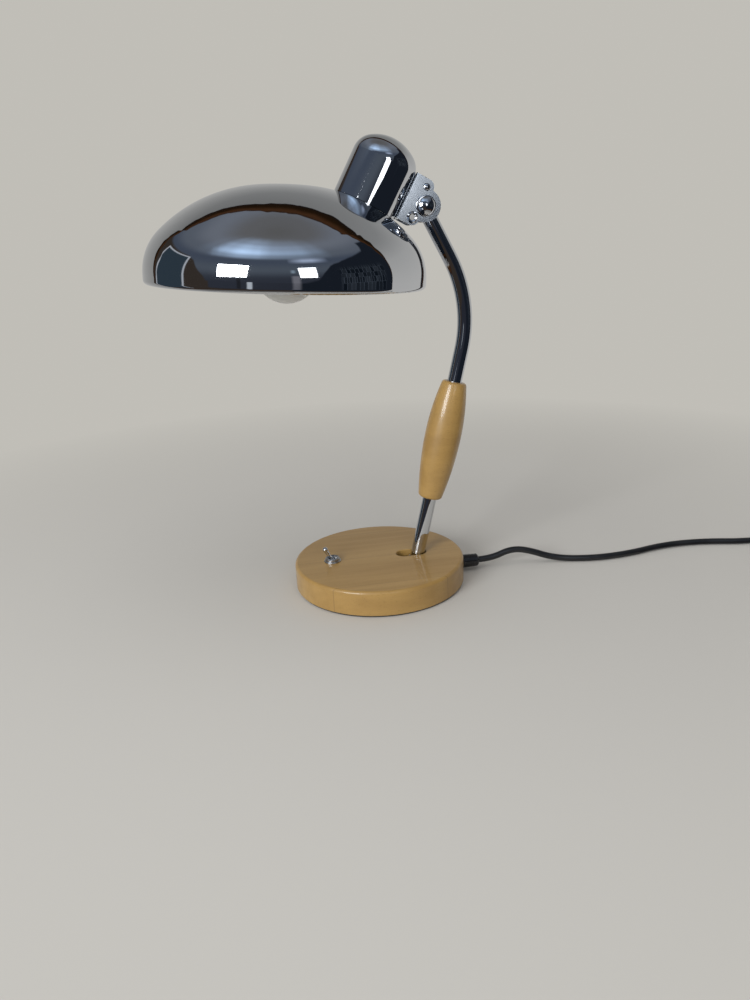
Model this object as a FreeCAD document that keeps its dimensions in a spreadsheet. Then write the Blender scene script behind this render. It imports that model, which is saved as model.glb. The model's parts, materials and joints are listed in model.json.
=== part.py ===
import FreeCAD, Part
import math
import os
import re

import Sketcher

# Gooseneck desk lamp, in millimetres. The origin is the middle of the felt under the base, +Z is up,
# the shade leans out over -X, and the XZ plane is the lamp's plane of symmetry.

V = FreeCAD.Vector
ACROSS = V(0, 1, 0)

SIZES = {
    # Base: a turned beech disc, hollow underneath, closed by a steel plate and a felt pad
    "baseDiameter": 170, "woodThickness": 24.5, "feltThickness": 1.5, "feltMargin": 2,
    "topSkin": 7, "baseRound": 3, "undersideBevel": 0.8, "pocketDiameter": 136,
    "plateDiameter": 155, "plateThickness": 1.5, "plateGap": 0.4, "seatGap": 0.1,
    "slotTravel": 17, "slotGap": 1, "slotMiddle": 33.2, "slotRound": 0.8,
    "weightDiameter": 132, "weightThickness": 11, "weightWindow": 38, "weightWindowFront": 12,
    "switchWindow": 34,
    "woodScrewDiameter": 3.2, "woodScrewHead": 6.2, "woodScrewLength": 13,
    "plateScrewCircle": 146, "weightScrewCircle": 104, "weightScrewLength": 15.5,
    "weightScrewHeadHeight": 2.2,
    # Pivot inside the base
    "pivotReach": 37.06, "pivotHeight": 12, "boltDiameter": 6, "runningGap": 0.05,
    "eyeRadius": 6.5, "eyeWidth": 13, "washerDiameter": 12,
    "sheetThickness": 2, "earHalfLength": 8.5, "earTop": 18.5, "earCorner": 3.5, "footHalfLength": 17,
    "bracketScrewReach": 13, "bracketScrewDiameter": 4, "bracketScrewHead": 7.2,
    "bracketScrewHeadHeight": 2.2, "nutAcross": 10, "nutHeight": 5, "boltHeadHeight": 4,
    # Toggle switch
    "switchReach": 47.5, "switchLength": 25, "switchWidth": 15, "switchHeight": 12,
    "bushingDiameter": 12, "bushingTop": 3.5, "bushingBore": 6.4, "bushingMouth": 9.8,
    "dressPlateDiameter": 17, "dressPlateHeight": 1.4, "dressNutDiameter": 14.4,
    "dressNutHeight": 2.6, "terminalHeight": 3.2, "terminalPitch": 8,
    "leverPivotHeight": 25.4, "leverLean": 26, "leverLength": 15, "leverBall": 2.7,
    "leverNeck": 1.5, "leverTip": 2.6,
    # Cord gland, clamp and terminals
    "cordDiameter": 6.6, "glandHeight": 9.5, "glandBore": 9.6, "glandDiameter": 14,
    "glandLength": 18.5, "glandTaper": 0.6, "glandChamfer": 1.4, "glandTail": 20,
    "glandNutDiameter": 12.6, "glandNutThickness": 2.8,
    "clampLength": 5, "clampWidth": 20, "clampHeight": 11, "clampReach": 59.2,
    "clampScrewSpread": 7, "clampScrewDiameter": 3, "clampScrewHead": 5.4, "clampScrewHeadHeight": 2,
    "blockLength": 14, "blockWidth": 7.4, "blockHeight": 9, "blockReach": 44.5, "blockGap": 1.4,
    "leadDiameter": 2.2, "innerCordTail": 4,
    # Arm: one bent steel tube with a turned grip
    "tubeDiameter": 14, "tubeWall": 1.5, "armLean": 13.5, "armLower": 267.1, "armUpper": 95.3,
    "armUpperLean": 27.5, "bendRadius": 120, "tubeStart": 8, "tubeEnd": 12.5, "spigotLength": 14,
    "armWireDiameter": 5, "wireBore": 6.4,
    "gripStart": 73.7, "gripLength": 117.2, "gripEnd": 23, "gripWidest": 35.2, "gripShare": 0.54,
    "gripRound": 3,
    # Knuckle at the top of the arm
    "knuckleRadius": 10, "knuckleAlong": 21.3, "knuckleOut": 47.3, "lobeRadius": 13.6,
    "lobeSpread": 75, "rivetSpread": 13.9, "rivetOut": 41, "rivetLobe": 6.6, "cheekGap": 1,
    "bracketBend": 1.6,
    "webThickness": 2.2, "rivetHead": 3.3, "rivetHeadHeight": 1.5, "rivetShank": 2.2,
    "sleeveRadius": 3.4, "eyeletRadius": 5, "eyeletBore": 2.5, "eyeletHeight": 1.2,
    "ringDiameter": 18, "ringHeight": 1.3, "capNutDiameter": 15, "capNutHeight": 5.4,
    "capNutSide": 2.2, "screwHeadDiameter": 12, "screwHeadHeight": 3.4,
    # Cap over the lampholder
    "capLean": 29.5, "capDiameter": 58, "capHeight": 57.4, "crownRadius": 37.2,
    "shoulderRadius": 17.5, "capWall": 1.2, "capSkirt": 8, "domeGap": 0.2,
    "ringWidth": 6.2, "ringThickness": 1.5, "ringLift": 1, "capScrewInset": 4.4,
    "capScrewDiameter": 3, "capScrewHead": 5.4, "capScrewHeadHeight": 1.8, "capScrewTop": 4.4,
    "nippleDiameter": 10, "nippleBore": 7, "nippleInside": 7.6, "holderStripGap": 1.4, "nippleOutside": 3.4,
    "nippleNutAcross": 14, "nippleNutHeight": 2.6,
    # Shade: one spun shell
    "shadeDiameter": 246.6, "shadeRise": 74.7, "shadeSkirt": 8.5, "shadeWall": 0.8, "shadeLean": 4.25,
    "domeFlat": 0.1, "domeShoulder": 1.111, "capOffset": 69, "shadeHole": 42,
    "lipWidth": 3.2, "lipHeight": 4,
    # Lampholder and bulb
    "holderLean": 24.7, "holderAlong": 2.3, "holderOut": -0.3, "holderStrip": 1.5,
    "holderStripWidth": 16, "holderDiameter": 38, "holderBore": 28.6, "holderLength": 48,
    "holderShoulder": 21, "holderTop": 22, "holderBoss": 16, "holderBossLength": 6,
    "holderBoreDepth": 31, "bulbDiameter": 59, "bulbReach": 92, "bulbNeck": 25, "bulbNeckReach": 44,
    "bulbWall": 1, "lampCapDiameter": 26.4, "lampCapLength": 25, "lampTip": 9, "lampTipHeight": 3,
    # Cord put away beside the lamp, and the plug
    "coilMiddleX": 440, "coilMiddleY": -62, "coilRadius": 34.5, "coilTurnsAcross": 2,
    "coilTurnsHigh": 3, "coilBevel": 2,
    "plugDiameter": 37, "plugLength": 33, "plugRelief": 22, "plugReliefEnd": 9.4, "plugNeck": 16,
    "pinDiameter": 4.8, "pinLength": 19, "pinPitch": 19, "clipWidth": 6, "clipDepth": 1,
    "plugTurn": 187.125,
}

# The cord's route from the gland to the coil, and from the coil to the plug
CORD_ROUTE = [
    (103.5, 0, 9.5), (119, 0, 9.5), (138, 0.3, 16.8), (156, -1, 15.2), (186, -5, 3.3),
    (224, -16, 3.3), (266, -14, 3.3), (309, -3, 3.3), (353, -5, 3.3), (396, -18, 3.3),
    (440, -17.9, 3.3),
]
TAIL_ROUTE = [
    (477.8, -62, 16.5), (480, -86, 13), (473, -110, 12.8), (452, -126, 18.5), (428, -129, 18.5),
]
LEAD_ROUTES = [
    [(54.9, -1.1, 10.4), (51.4, -1.5, 10.6), (50.6, -6.4, 9.8), (51.2, -10.6, 8.6)],
    [(43.8, -14.7, 6.4), (30, -18, 5.6), (0, -22, 5.4), (-26, -14, 5.4), (-34.6, -2, 5.4)],
    [(-34.6, 2, 5.4), (-22, 12, 5.4), (0, 16, 5.4), (16, 12, 6), (21, 4, 8.6)],
]


doc = FreeCAD.newDocument("deskLamp")
sheet = doc.addObject("Spreadsheet::Sheet", "Sizes")
for row, (alias, number) in enumerate(SIZES.items(), 1):
    sheet.set(f"A{row}", alias)
    sheet.set(f"B{row}", str(number))
    sheet.setAlias(f"B{row}", alias)
doc.recompute()

made = []


def bound(text):
    """An expression in the names of the sizes, as one that reads them from the sheet."""
    return re.sub(r"[A-Za-z]\w*", lambda word: "Sizes." + word[0] if word[0] in SIZES else word[0], text)


def value(text):
    """The number that such an expression gives."""
    result = sheet.evalExpression(bound(text))
    return float(getattr(result, "Value", result))


def bind(thing, **sizes):
    """Ties each named property to an expression in the sizes."""
    for name, text in sizes.items():
        thing.setExpression(name, bound(text))
    return thing


def keep(thing, label, x="0", y="0", z="0", lean="0"):
    """Names a finished sub-part, and puts it in its place, leaned about the axis across the lamp."""
    thing.Label = label
    place(thing, x, y, z, lean)
    made.append(thing)
    return thing


def place(thing, x="0", y="0", z="0", lean="0"):
    spot = V(value(x), value(y), value(z))
    thing.Placement = FreeCAD.Placement(spot, FreeCAD.Rotation(ACROSS, value(lean)))
    for part, text in (("Base.x", x), ("Base.y", y), ("Base.z", z), ("Rotation.Angle", lean)):
        if text != "0":
            thing.setExpression("Placement." + part, bound(text))


def new_body(name):
    return doc.addObject("PartDesign::Body", name)


def new_sketch(body, role="XZ_Plane", lift="0"):
    """A sketch on one of the body's own planes, moved along its normal by lift."""
    sketch = body.newObject("Sketcher::SketchObject", body.Name + "_sketch")
    plane = next(f for f in body.Origin.OriginFeatures if f.Role == role)
    sketch.AttachmentSupport = [(plane, "")]
    sketch.MapMode = "FlatFace"
    if lift != "0":
        sketch.AttachmentOffset = FreeCAD.Placement(V(0, 0, value(lift)), FreeCAD.Rotation())
        sketch.setExpression("AttachmentOffset.Base.z", bound(lift))
    return sketch


def pin_point(sketch, geometry, end, x, y):
    """Holds a point of the sketch at two expressions."""
    for kind, text in (("DistanceX", x), ("DistanceY", y)):
        index = sketch.addConstraint(Sketcher.Constraint(kind, -1, 1, geometry, end, value(text)))
        sketch.setExpression(f"Constraints[{index}]", bound(text))


def outline(sketch, corners, closed=True):
    """Lines and arcs through corners. A corner is (x, y), or (x, y, (x, y)) with a point that the arc
    from this corner to the next passes through."""
    points = [V(value(c[0]), value(c[1]), 0) for c in corners]
    edges = []
    count = len(corners) if closed else len(corners) - 1
    for i in range(count):
        start, stop = points[i], points[(i + 1) % len(points)]
        if len(corners[i]) == 3:
            through = corners[i][2]
            middle = V(value(through[0]), value(through[1]), 0)
            index = sketch.addGeometry(Part.Arc(start, middle, stop))
            turned = sketch.getPoint(index, 1).distanceToPoint(start) > 1e-6
            spot = sketch.addGeometry(Part.Point(middle), True)
            pin_point(sketch, spot, 1, *through)
            sketch.addConstraint(Sketcher.Constraint("PointOnObject", spot, 1, index))
        else:
            index = sketch.addGeometry(Part.LineSegment(start, stop))
            turned = False
        edges.append((index, 2, 1) if turned else (index, 1, 2))
    for i, (index, first, last) in enumerate(edges):
        pin_point(sketch, index, first, *corners[i][:2])
        if i + 1 < len(edges) or closed:
            follower, its_first, _ = edges[(i + 1) % len(edges)]
            sketch.addConstraint(Sketcher.Constraint("Coincident", index, last, follower, its_first))
        else:
            pin_point(sketch, index, last, *corners[-1][:2])
    return sketch


def circle(sketch, x, y, diameter):
    spot = V(value(x), value(y), 0)
    index = sketch.addGeometry(Part.Circle(spot, V(0, 0, 1), value(diameter) / 2))
    pin_point(sketch, index, 3, x, y)
    size = sketch.addConstraint(Sketcher.Constraint("Diameter", index, value(diameter)))
    sketch.setExpression(f"Constraints[{size}]", bound(diameter))
    return sketch


def feature(body, kind, sketch=None, **sizes):
    """A PartDesign feature on a sketch, with its sizes bound, as the body's tip."""
    made_feature = body.newObject("PartDesign::" + kind, body.Name + "_" + kind.lower())
    if sketch is not None:
        made_feature.Profile = sketch
    bind(made_feature, **sizes)
    body.Tip = made_feature
    return made_feature


def turn(body, corners, kind="Revolution"):
    """Turns a profile, in radius and height, about the body's own Z axis."""
    sketch = outline(new_sketch(body), corners)
    turned = feature(body, kind, sketch)
    turned.ReferenceAxis = (sketch, ["V_Axis"])
    turned.Angle = 360
    return turned


def pad(body, sketch, length, both=True):
    padded = feature(body, "Pad", sketch, Length=length)
    padded.SideType = "Symmetric" if both else "One side"
    return padded


def cut_through(body, sketch):
    """Cuts a sketch right through the body, both ways."""
    pocket = feature(body, "Pocket", sketch)
    pocket.Type = "ThroughAll"
    pocket.Midplane = True
    return pocket


def cut_ahead(body, sketch, length):
    """Cuts a sketch along its normal for a length."""
    pocket = feature(body, "Pocket", sketch, Length=length)
    pocket.Reversed = True
    return pocket


def around(body, pattern_of, count):
    """Repeats a feature evenly about the body's own Z axis."""
    pattern = body.newObject("PartDesign::PolarPattern", body.Name + "_pattern")
    pattern.Originals = [pattern_of]
    axis = next(f for f in body.Origin.OriginFeatures if f.Role == "Z_Axis")
    pattern.Axis = (axis, [""])
    pattern.Angle = 360
    pattern.Occurrences = count
    body.Tip = pattern
    return pattern


def edge_names(thing, test):
    doc.recompute()
    return [f"Edge{i}" for i, edge in enumerate(thing.Shape.Edges, 1) if test(edge)]


def round_edges(body, radius, test):
    """Rounds the edges of the body's tip that pass a test."""
    tip = body.Tip
    names = edge_names(tip, test)
    if not names:
        raise ValueError(f"no edge to round on {body.Name}")
    rounded = feature(body, "Fillet", Radius=radius)
    rounded.Base = (tip, names)
    return rounded


def bevel_edges(body, size, test):
    """Bevels the edges of the body's tip that pass a test."""
    tip = body.Tip
    names = edge_names(tip, test)
    if not names:
        raise ValueError(f"no edge to bevel on {body.Name}")
    bevelled = feature(body, "Chamfer", Size=size)
    bevelled.Base = (tip, names)
    return bevelled


def ring_edge(radius, height):
    """A test for the full round edge of one radius at one height."""
    def test(edge):
        if edge.Degenerated:
            return False
        curve = edge.Curve
        return (isinstance(curve, Part.Circle) and abs(curve.Radius - value(radius)) < 1e-3
                and abs(curve.Center.z - value(height)) < 1e-3)
    return test


def cylinder(name, radius, height, x="0", y="0", z="0", lean="0"):
    """A plain round bar, from its place upwards."""
    bar = bind(doc.addObject("Part::Cylinder", name), Radius=radius, Height=height)
    place(bar, x, y, z, lean)
    return bar


def prism(name, flats, height):
    """A hexagonal bar, measured across its flats."""
    bar = doc.addObject("Part::Prism", name)
    bar.Polygon = 6
    return bind(bar, Circumradius=f"({flats}) / 2 / cos(30)", Height=height)


def cut(name, base, tools):
    """What is left of base when the tools are taken away."""
    left = base
    for number, tool in enumerate(tools):
        step = doc.addObject("Part::Cut", f"{name}_{number}")
        step.Base, step.Tool = left, tool
        left = step
    return left


def copies(name, one, spots):
    """Copies of one piece at several places, as separate solids of one sub-part."""
    group = doc.addObject("Part::Compound", name)
    links = []
    for spot in spots:
        link = doc.addObject("App::Link", name + "_copy")
        link.LinkedObject = one
        link.LinkTransform = True
        place(link, *spot)
        links.append(link)
    group.Links = links
    return group


def rod_across(name, radius, near, far):
    """A bar along Y from near to far."""
    bar = bind(doc.addObject("Part::Cylinder", name), Radius=radius, Height=f"({far}) - ({near})")
    bar.Placement = FreeCAD.Placement(V(0, value(near), 0), FreeCAD.Rotation(V(1, 0, 0), -90))
    bind(bar, **{"Placement.Base.y": near})
    return bar


def solid(name, shape):
    """A sub-part whose shape is made in code."""
    thing = doc.addObject("Part::Feature", name)
    thing.Shape = shape
    return thing


def path_of(points):
    """Straight runs joined by tangent arcs, each as large as 0.45 of its shorter run allows."""
    spots = [V(*p) for p in points]
    edges, radii, start = [], [], spots[0]
    for before, corner, after in zip(spots, spots[1:], spots[2:]):
        back, ahead = (before - corner), (after - corner)
        reach = 0.45 * min(back.Length, ahead.Length)
        back.normalize()
        ahead.normalize()
        turn_by = math.pi - back.getAngle(ahead)
        radius = reach / math.tan(turn_by / 2)
        inward = back + ahead
        inward.normalize()
        middle = corner + inward * (radius / math.cos(turn_by / 2) - radius)
        first, last = corner + back * reach, corner + ahead * reach
        edges += [Part.LineSegment(start, first).toShape(), Part.Arc(first, middle, last).toShape()]
        radii.append(radius)
        start = last
    edges.append(Part.LineSegment(start, spots[-1]).toShape())
    return Part.Wire(edges), radii


def tube_along(points, diameter, name):
    """A round solid along a route. Prints its smallest radius, and its length against its volume."""
    wire, radii = path_of(points)
    start = V(*points[0])
    heading = V(*points[1]) - start
    ring = Part.Wire(Part.Circle(start, heading, diameter / 2).toShape())
    tube = wire.makePipeShell([ring], True, True)
    by_volume = tube.Volume / (math.pi * diameter ** 2 / 4)
    print(f"{name}: radii {[round(r) for r in radii]}, length {wire.Length:.1f}, by volume {by_volume:.1f}")
    return tube, wire.Length


def crown(radius, side, top):
    """A point halfway along the arc of a dome centred on the axis, from its side to its top."""
    rise = f"(({top}) - ({side}))"
    ball = f"((({radius}) ^ 2 + {rise} ^ 2) / 2 / {rise})"
    half = f"(asin(({radius}) / {ball}) / 2)"
    return (f"{ball} * sin({half})", f"{top} - {ball} + {ball} * cos({half})")


# Heights in the base
underside = "feltThickness"
plateTop = "(feltThickness + plateThickness)"
ceiling = "(feltThickness + woodThickness - topSkin)"
baseTop = "(feltThickness + woodThickness)"

# Places up the arm
cornerX = "(pivotReach + armLower * sin(armLean))"
cornerZ = "(pivotHeight + armLower * cos(armLean))"
knuckleX = f"({cornerX} - armUpper * sin(armUpperLean))"
knuckleZ = f"({cornerZ} + armUpper * cos(armUpperLean))"
tubeBore = "(tubeDiameter - 2 * tubeWall)"
cheekInside = "(tubeDiameter / 2 + cheekGap)"
bracketWidth = f"(2 * ({cheekInside} + sheetThickness))"
capScrewRadius = "(capDiameter / 2 - capScrewInset)"

# The cap's own frame: its Z axis runs up the cap, its X axis points at the knuckle
capX = f"({knuckleX} - knuckleAlong * sin(capLean) - knuckleOut * cos(capLean))"
capZ = f"({knuckleZ} - knuckleAlong * cos(capLean) + knuckleOut * sin(capLean))"

# The shade's frame: its origin is the middle of the rim
domeBall = "(domeShoulder * shadeDiameter / 2)"
domeHeight = (f"(shadeSkirt + shadeRise - {domeBall}"
              f" + sqrt({domeBall} ^ 2 - (capOffset - domeFlat * shadeDiameter / 2) ^ 2))")
shadeX = f"({capX} - capOffset * cos(shadeLean) - {domeHeight} * sin(shadeLean))"
shadeZ = f"({capZ} + capOffset * sin(shadeLean) - {domeHeight} * cos(shadeLean))"

# The lampholder's frame: its origin is the end of its boss, its Z axis points away from the bulb
holderTilt = "(capLean + holderLean)"
holderX = f"({capX} + holderAlong * sin(capLean) + holderOut * cos(capLean))"
holderZ = f"({capZ} + holderAlong * cos(capLean) - holderOut * sin(capLean))"


# The base

def base_disc():
    body = new_body("base_disc")
    turn(body, [
        ("0", ceiling), ("pocketDiameter / 2", ceiling), ("pocketDiameter / 2", plateTop),
        ("plateDiameter / 2", plateTop), ("plateDiameter / 2", underside),
        ("baseDiameter / 2", underside), ("baseDiameter / 2", baseTop), ("0", baseTop),
    ])
    long, half = "(tubeDiameter + slotTravel)", "(tubeDiameter / 2 + slotGap)"
    front, back = f"(slotMiddle - {long} / 2)", f"(slotMiddle + {long} / 2)"
    slot = outline(new_sketch(body, "XY_Plane"), [
        (f"{front} + {half}", f"-{half}"), (f"{back} - {half}", f"-{half}", (back, "0")),
        (f"{back} - {half}", half), (f"{front} + {half}", half, (front, "0")),
    ])
    cut_through(body, slot)
    switch_hole = circle(new_sketch(body, "XY_Plane"), "-switchReach", "0", "bushingDiameter + 2 * seatGap")
    cut_through(body, switch_hole)
    bore = circle(new_sketch(body, "YZ_Plane"), "0", "glandHeight", "glandBore")
    cut_ahead(body, bore, "baseDiameter / 2 + 1")
    for across, bottom, depth in (
        ("plateScrewCircle", plateTop, "woodScrewLength - plateThickness + seatGap"),
        ("weightScrewCircle", ceiling, "weightScrewLength - weightThickness + seatGap"),
    ):
        hole = circle(new_sketch(body, "XY_Plane", bottom), f"{across} / 2 * cos(45)",
                      f"{across} / 2 * sin(45)", "woodScrewDiameter + 2 * seatGap")
        around(body, cut_ahead(body, hole, depth), 4)
    round_edges(body, "baseRound", ring_edge("baseDiameter / 2", baseTop))
    bevel_edges(body, "undersideBevel", ring_edge("baseDiameter / 2", underside))

    def slot_rim(edge):
        box = edge.BoundBox
        return (abs(box.ZMin - value(baseTop)) < 1e-3 and box.ZLength < 1e-3
                and box.XMin > value(front) - 0.01 and box.XMax < value(back) + 0.01)
    round_edges(body, "slotRound", slot_rim)
    keep(body, "base_disc")


def ballast_weight():
    body = new_body("ballast_weight")
    low = f"{ceiling} - weightThickness"
    disc = circle(new_sketch(body, "XY_Plane", low), "0", "0", "weightDiameter")
    pad(body, disc, "weightThickness", False)
    half = "weightWindow / 2"
    window = outline(new_sketch(body, "XY_Plane"), [
        ("weightWindowFront", f"-{half}"), ("weightDiameter", f"-{half}"),
        ("weightDiameter", half), ("weightWindowFront", half),
    ])
    cut_through(body, window)
    cut_through(body, circle(new_sketch(body, "XY_Plane"), "-switchReach", "0", "switchWindow"))
    hole = circle(new_sketch(body, "XY_Plane"), "weightScrewCircle / 2 * cos(45)",
                  "weightScrewCircle / 2 * sin(45)", "woodScrewDiameter + 2 * seatGap")
    around(body, cut_through(body, hole), 4)
    keep(body, "ballast_weight")


def bottom_plate():
    body = new_body("bottom_plate")
    pad(body, circle(new_sketch(body, "XY_Plane"), "0", "0", "plateDiameter - 2 * plateGap"),
        "plateThickness", False)
    hole = circle(new_sketch(body, "XY_Plane"), "plateScrewCircle / 2 * cos(45)",
                  "plateScrewCircle / 2 * sin(45)", "woodScrewHead + 2 * seatGap")
    around(body, cut_through(body, hole), 4)
    for side in ("-", "+"):
        cut_through(body, circle(new_sketch(body, "XY_Plane"), f"pivotReach {side} bracketScrewReach", "0",
                                 "bracketScrewDiameter + 2 * seatGap"))
    keep(body, "bottom_plate", z=underside)


def felt_pad():
    pad_of_felt = cylinder("felt_pad", "baseDiameter / 2 - feltMargin", "feltThickness")
    keep(pad_of_felt, "felt_pad")


def wood_screws(label, across, start, length, head_height):
    """Four screws driven upwards, on a circle, with their heads lowest."""
    one = new_body(label + "_one")
    turn(one, [
        ("0", "0"), ("woodScrewHead / 2", "0"), ("woodScrewHead / 2", f"0.4 * ({head_height})"),
        ("woodScrewDiameter / 2", head_height), ("woodScrewDiameter / 2", f"{length} - woodScrewDiameter"),
        ("0", length),
    ])
    spots = [(f"{across} / 2 * cos({angle})", f"{across} / 2 * sin({angle})", start)
             for angle in (45, 135, 225, 315)]
    keep(copies(label, one, spots), label)


def pivot_bracket():
    body = new_body("pivot_bracket")
    top = "(earTop - plateThickness - feltThickness)"
    shoulder = f"{top} - earCorner"
    pad(body, outline(new_sketch(body), [
        ("-footHalfLength", "0"), ("footHalfLength", "0"), ("footHalfLength", "sheetThickness"),
        ("earHalfLength", "sheetThickness"), ("earHalfLength", shoulder), ("earHalfLength - earCorner", top),
        ("earCorner - earHalfLength", top), ("-earHalfLength", shoulder),
        ("-earHalfLength", "sheetThickness"),
        ("-footHalfLength", "sheetThickness"),
    ]), bracketWidth)
    gap = outline(new_sketch(body), [
        ("-2 * footHalfLength", "sheetThickness"), ("2 * footHalfLength", "sheetThickness"),
        ("2 * footHalfLength", "2 * earTop"), ("-2 * footHalfLength", "2 * earTop"),
    ])
    between = feature(body, "Pocket", gap, Length=f"2 * {cheekInside}")
    between.Midplane = True
    axle = circle(new_sketch(body), "0", f"pivotHeight - {plateTop}", "boltDiameter + 2 * seatGap")
    cut_through(body, axle)
    for side in ("-", ""):
        cut_through(body, circle(new_sketch(body, "XY_Plane"), side + "bracketScrewReach", "0",
                                 "bracketScrewDiameter + 2 * seatGap"))
    keep(body, "pivot_bracket", x="pivotReach", z=plateTop)


def pivot_bracket_screws():
    one = new_body("bracket_screw")
    floor_of_head = "plateThickness + sheetThickness"
    turn(one, [
        ("0", "0"), ("bracketScrewDiameter / 2", "0"), ("bracketScrewDiameter / 2", floor_of_head),
        ("bracketScrewHead / 2", floor_of_head),
        ("bracketScrewHead / 2", f"{floor_of_head} + 0.6 * bracketScrewHeadHeight",
         ("0.42 * bracketScrewHead", f"{floor_of_head} + 0.9 * bracketScrewHeadHeight")),
        ("0.3 * bracketScrewHead", f"{floor_of_head} + bracketScrewHeadHeight"),
        ("0", f"{floor_of_head} + bracketScrewHeadHeight"),
    ])
    spots = [(f"pivotReach {side} bracketScrewReach", "0", underside) for side in ("-", "+")]
    keep(copies("pivot_bracket_screws", one, spots), "pivot_bracket_screws")


def hex_across(name, flats, near, far, x, z):
    """A hexagon bar along Y from near to far, at one place in the lamp's plane."""
    bar = prism(name, flats, f"({far}) - ({near})")
    spot = V(value(x), value(near), value(z))
    bar.Placement = FreeCAD.Placement(spot, FreeCAD.Rotation(V(1, 0, 0), -90))
    return bind(bar, **{"Placement.Base.x": x, "Placement.Base.y": near, "Placement.Base.z": z})


def round_across(name, radius, near, far, x, z):
    """A round bar along Y from near to far, at one place in the lamp's plane."""
    bar = rod_across(name, radius, near, far)
    bar.Placement.Base = V(value(x), value(near), value(z))
    return bind(bar, **{"Placement.Base.x": x, "Placement.Base.z": z})


def joined(name, pieces):
    whole = doc.addObject("Part::MultiFuse", name)
    whole.Shapes = pieces
    return whole


def pivot_fasteners():
    spot = ("pivotReach", "pivotHeight")
    half = f"{bracketWidth} / 2"
    shank = round_across("bolt_shank", "boltDiameter / 2", f"-{half} - nutHeight - 1", f"{half} + 1", *spot)
    head = hex_across("bolt_head", "nutAcross", half, f"{half} + boltHeadHeight", *spot)
    keep_fused("pivot_bolt", [shank, head])
    nut = hex_across("nut_blank", "nutAcross", f"-{half} - nutHeight", f"-{half}", *spot)
    hole = round_across("nut_hole", "boltDiameter / 2 + runningGap", f"-{half} - nutHeight - 1",
                        f"-{half} + 1", *spot)
    keep_cut("pivot_nut", nut, [hole])
    keep_washers("pivot_washers", "washerDiameter / 2", "eyeWidth / 2", cheekInside, *spot)


def keep_fused(label, pieces):
    whole = joined(label, pieces)
    whole.Label = label
    made.append(whole)


def keep_cut(label, base, tools):
    left = cut(label, base, tools)
    left.Label = label
    made.append(left)


def keep_washers(label, radius, inner, outer, x, z):
    """Two rings about the Y axis, one each side, between two distances from the middle."""
    rings = []
    for side, near, far in (("far", inner, outer), ("near", f"-({outer})", f"-({inner})")):
        ring = round_across(f"{label}_{side}", radius, near, far, x, z)
        hole = round_across(f"{label}_{side}_hole", "boltDiameter / 2 + runningGap", f"{near} - 1",
                            f"{far} + 1", x, z)
        rings.append(cut(f"{label}_{side}_ring", ring, [hole]))
    group = doc.addObject("Part::Compound", label)
    group.Links = rings
    group.Label = label
    made.append(group)


# The toggle switch

def switch_pieces():
    box = bind(doc.addObject("Part::Box", "switch_body"), Length="switchLength", Width="switchWidth",
               Height="switchHeight")
    keep(box, "switch_body", "-switchReach - switchLength / 2", "-switchWidth / 2",
         f"{ceiling} - switchHeight")
    top = f"{baseTop} + bushingTop"
    bushing = new_body("switch_bushing")
    turn(bushing, [
        ("bushingBore / 2", ceiling), ("bushingDiameter / 2", ceiling), ("bushingDiameter / 2", top),
        ("bushingMouth / 2", top), ("bushingBore / 2", "leverPivotHeight"),
    ])
    keep(bushing, "switch_bushing", x="-switchReach")
    hole = "bushingDiameter / 2 + seatGap"
    dress_plate = new_body("switch_plate")
    turn(dress_plate, [
        (hole, baseTop), ("dressPlateDiameter / 2", baseTop),
        ("dressPlateDiameter / 2", f"{baseTop} + 0.4 * dressPlateHeight",
         ("dressPlateDiameter / 2 - 0.2", f"{baseTop} + 0.8 * dressPlateHeight")),
        ("dressPlateDiameter / 2 - 0.7", f"{baseTop} + dressPlateHeight"),
        (hole, f"{baseTop} + dressPlateHeight"),
    ])
    keep(dress_plate, "switch_plate", x="-switchReach")
    low, high = f"{baseTop} + dressPlateHeight", f"{baseTop} + dressPlateHeight + dressNutHeight"
    nut = new_body("switch_nut")
    turn(nut, [
        (hole, low), ("dressNutDiameter / 2", low), ("dressNutDiameter / 2", f"{high} - 0.8"),
        ("dressNutDiameter / 2 - 0.8", high), (hole, high),
    ])
    keep(nut, "switch_nut", x="-switchReach")
    tab = bind(doc.addObject("Part::Box", "switch_terminal"), Length="0.8", Width="4",
               Height="terminalHeight")
    foot = f"{ceiling} - switchHeight - terminalHeight"
    spots = [(f"-switchReach + {step} * terminalPitch - 0.4", "-2", foot) for step in (-1, 0, 1)]
    keep(copies("switch_terminals", tab, spots), "switch_terminals")


def toggle_lever():
    body = new_body("toggle_lever")
    neck = "sqrt(leverBall ^ 2 - leverNeck ^ 2)"
    turn(body, [
        ("0", "-leverBall", ("leverBall", "0")), ("leverNeck", neck),
        ("leverTip - 0.3", "leverLength - 1.6"),
        ("leverTip * cos(18)", "leverLength - leverTip * sin(18)",
         ("leverTip * cos(36)", "leverLength + leverTip * sin(36)")),
        ("0", "leverLength + leverTip"),
    ])
    keep(body, "toggle_lever", "-switchReach", "0", "leverPivotHeight", "-leverLean")


# Cord entry

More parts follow.
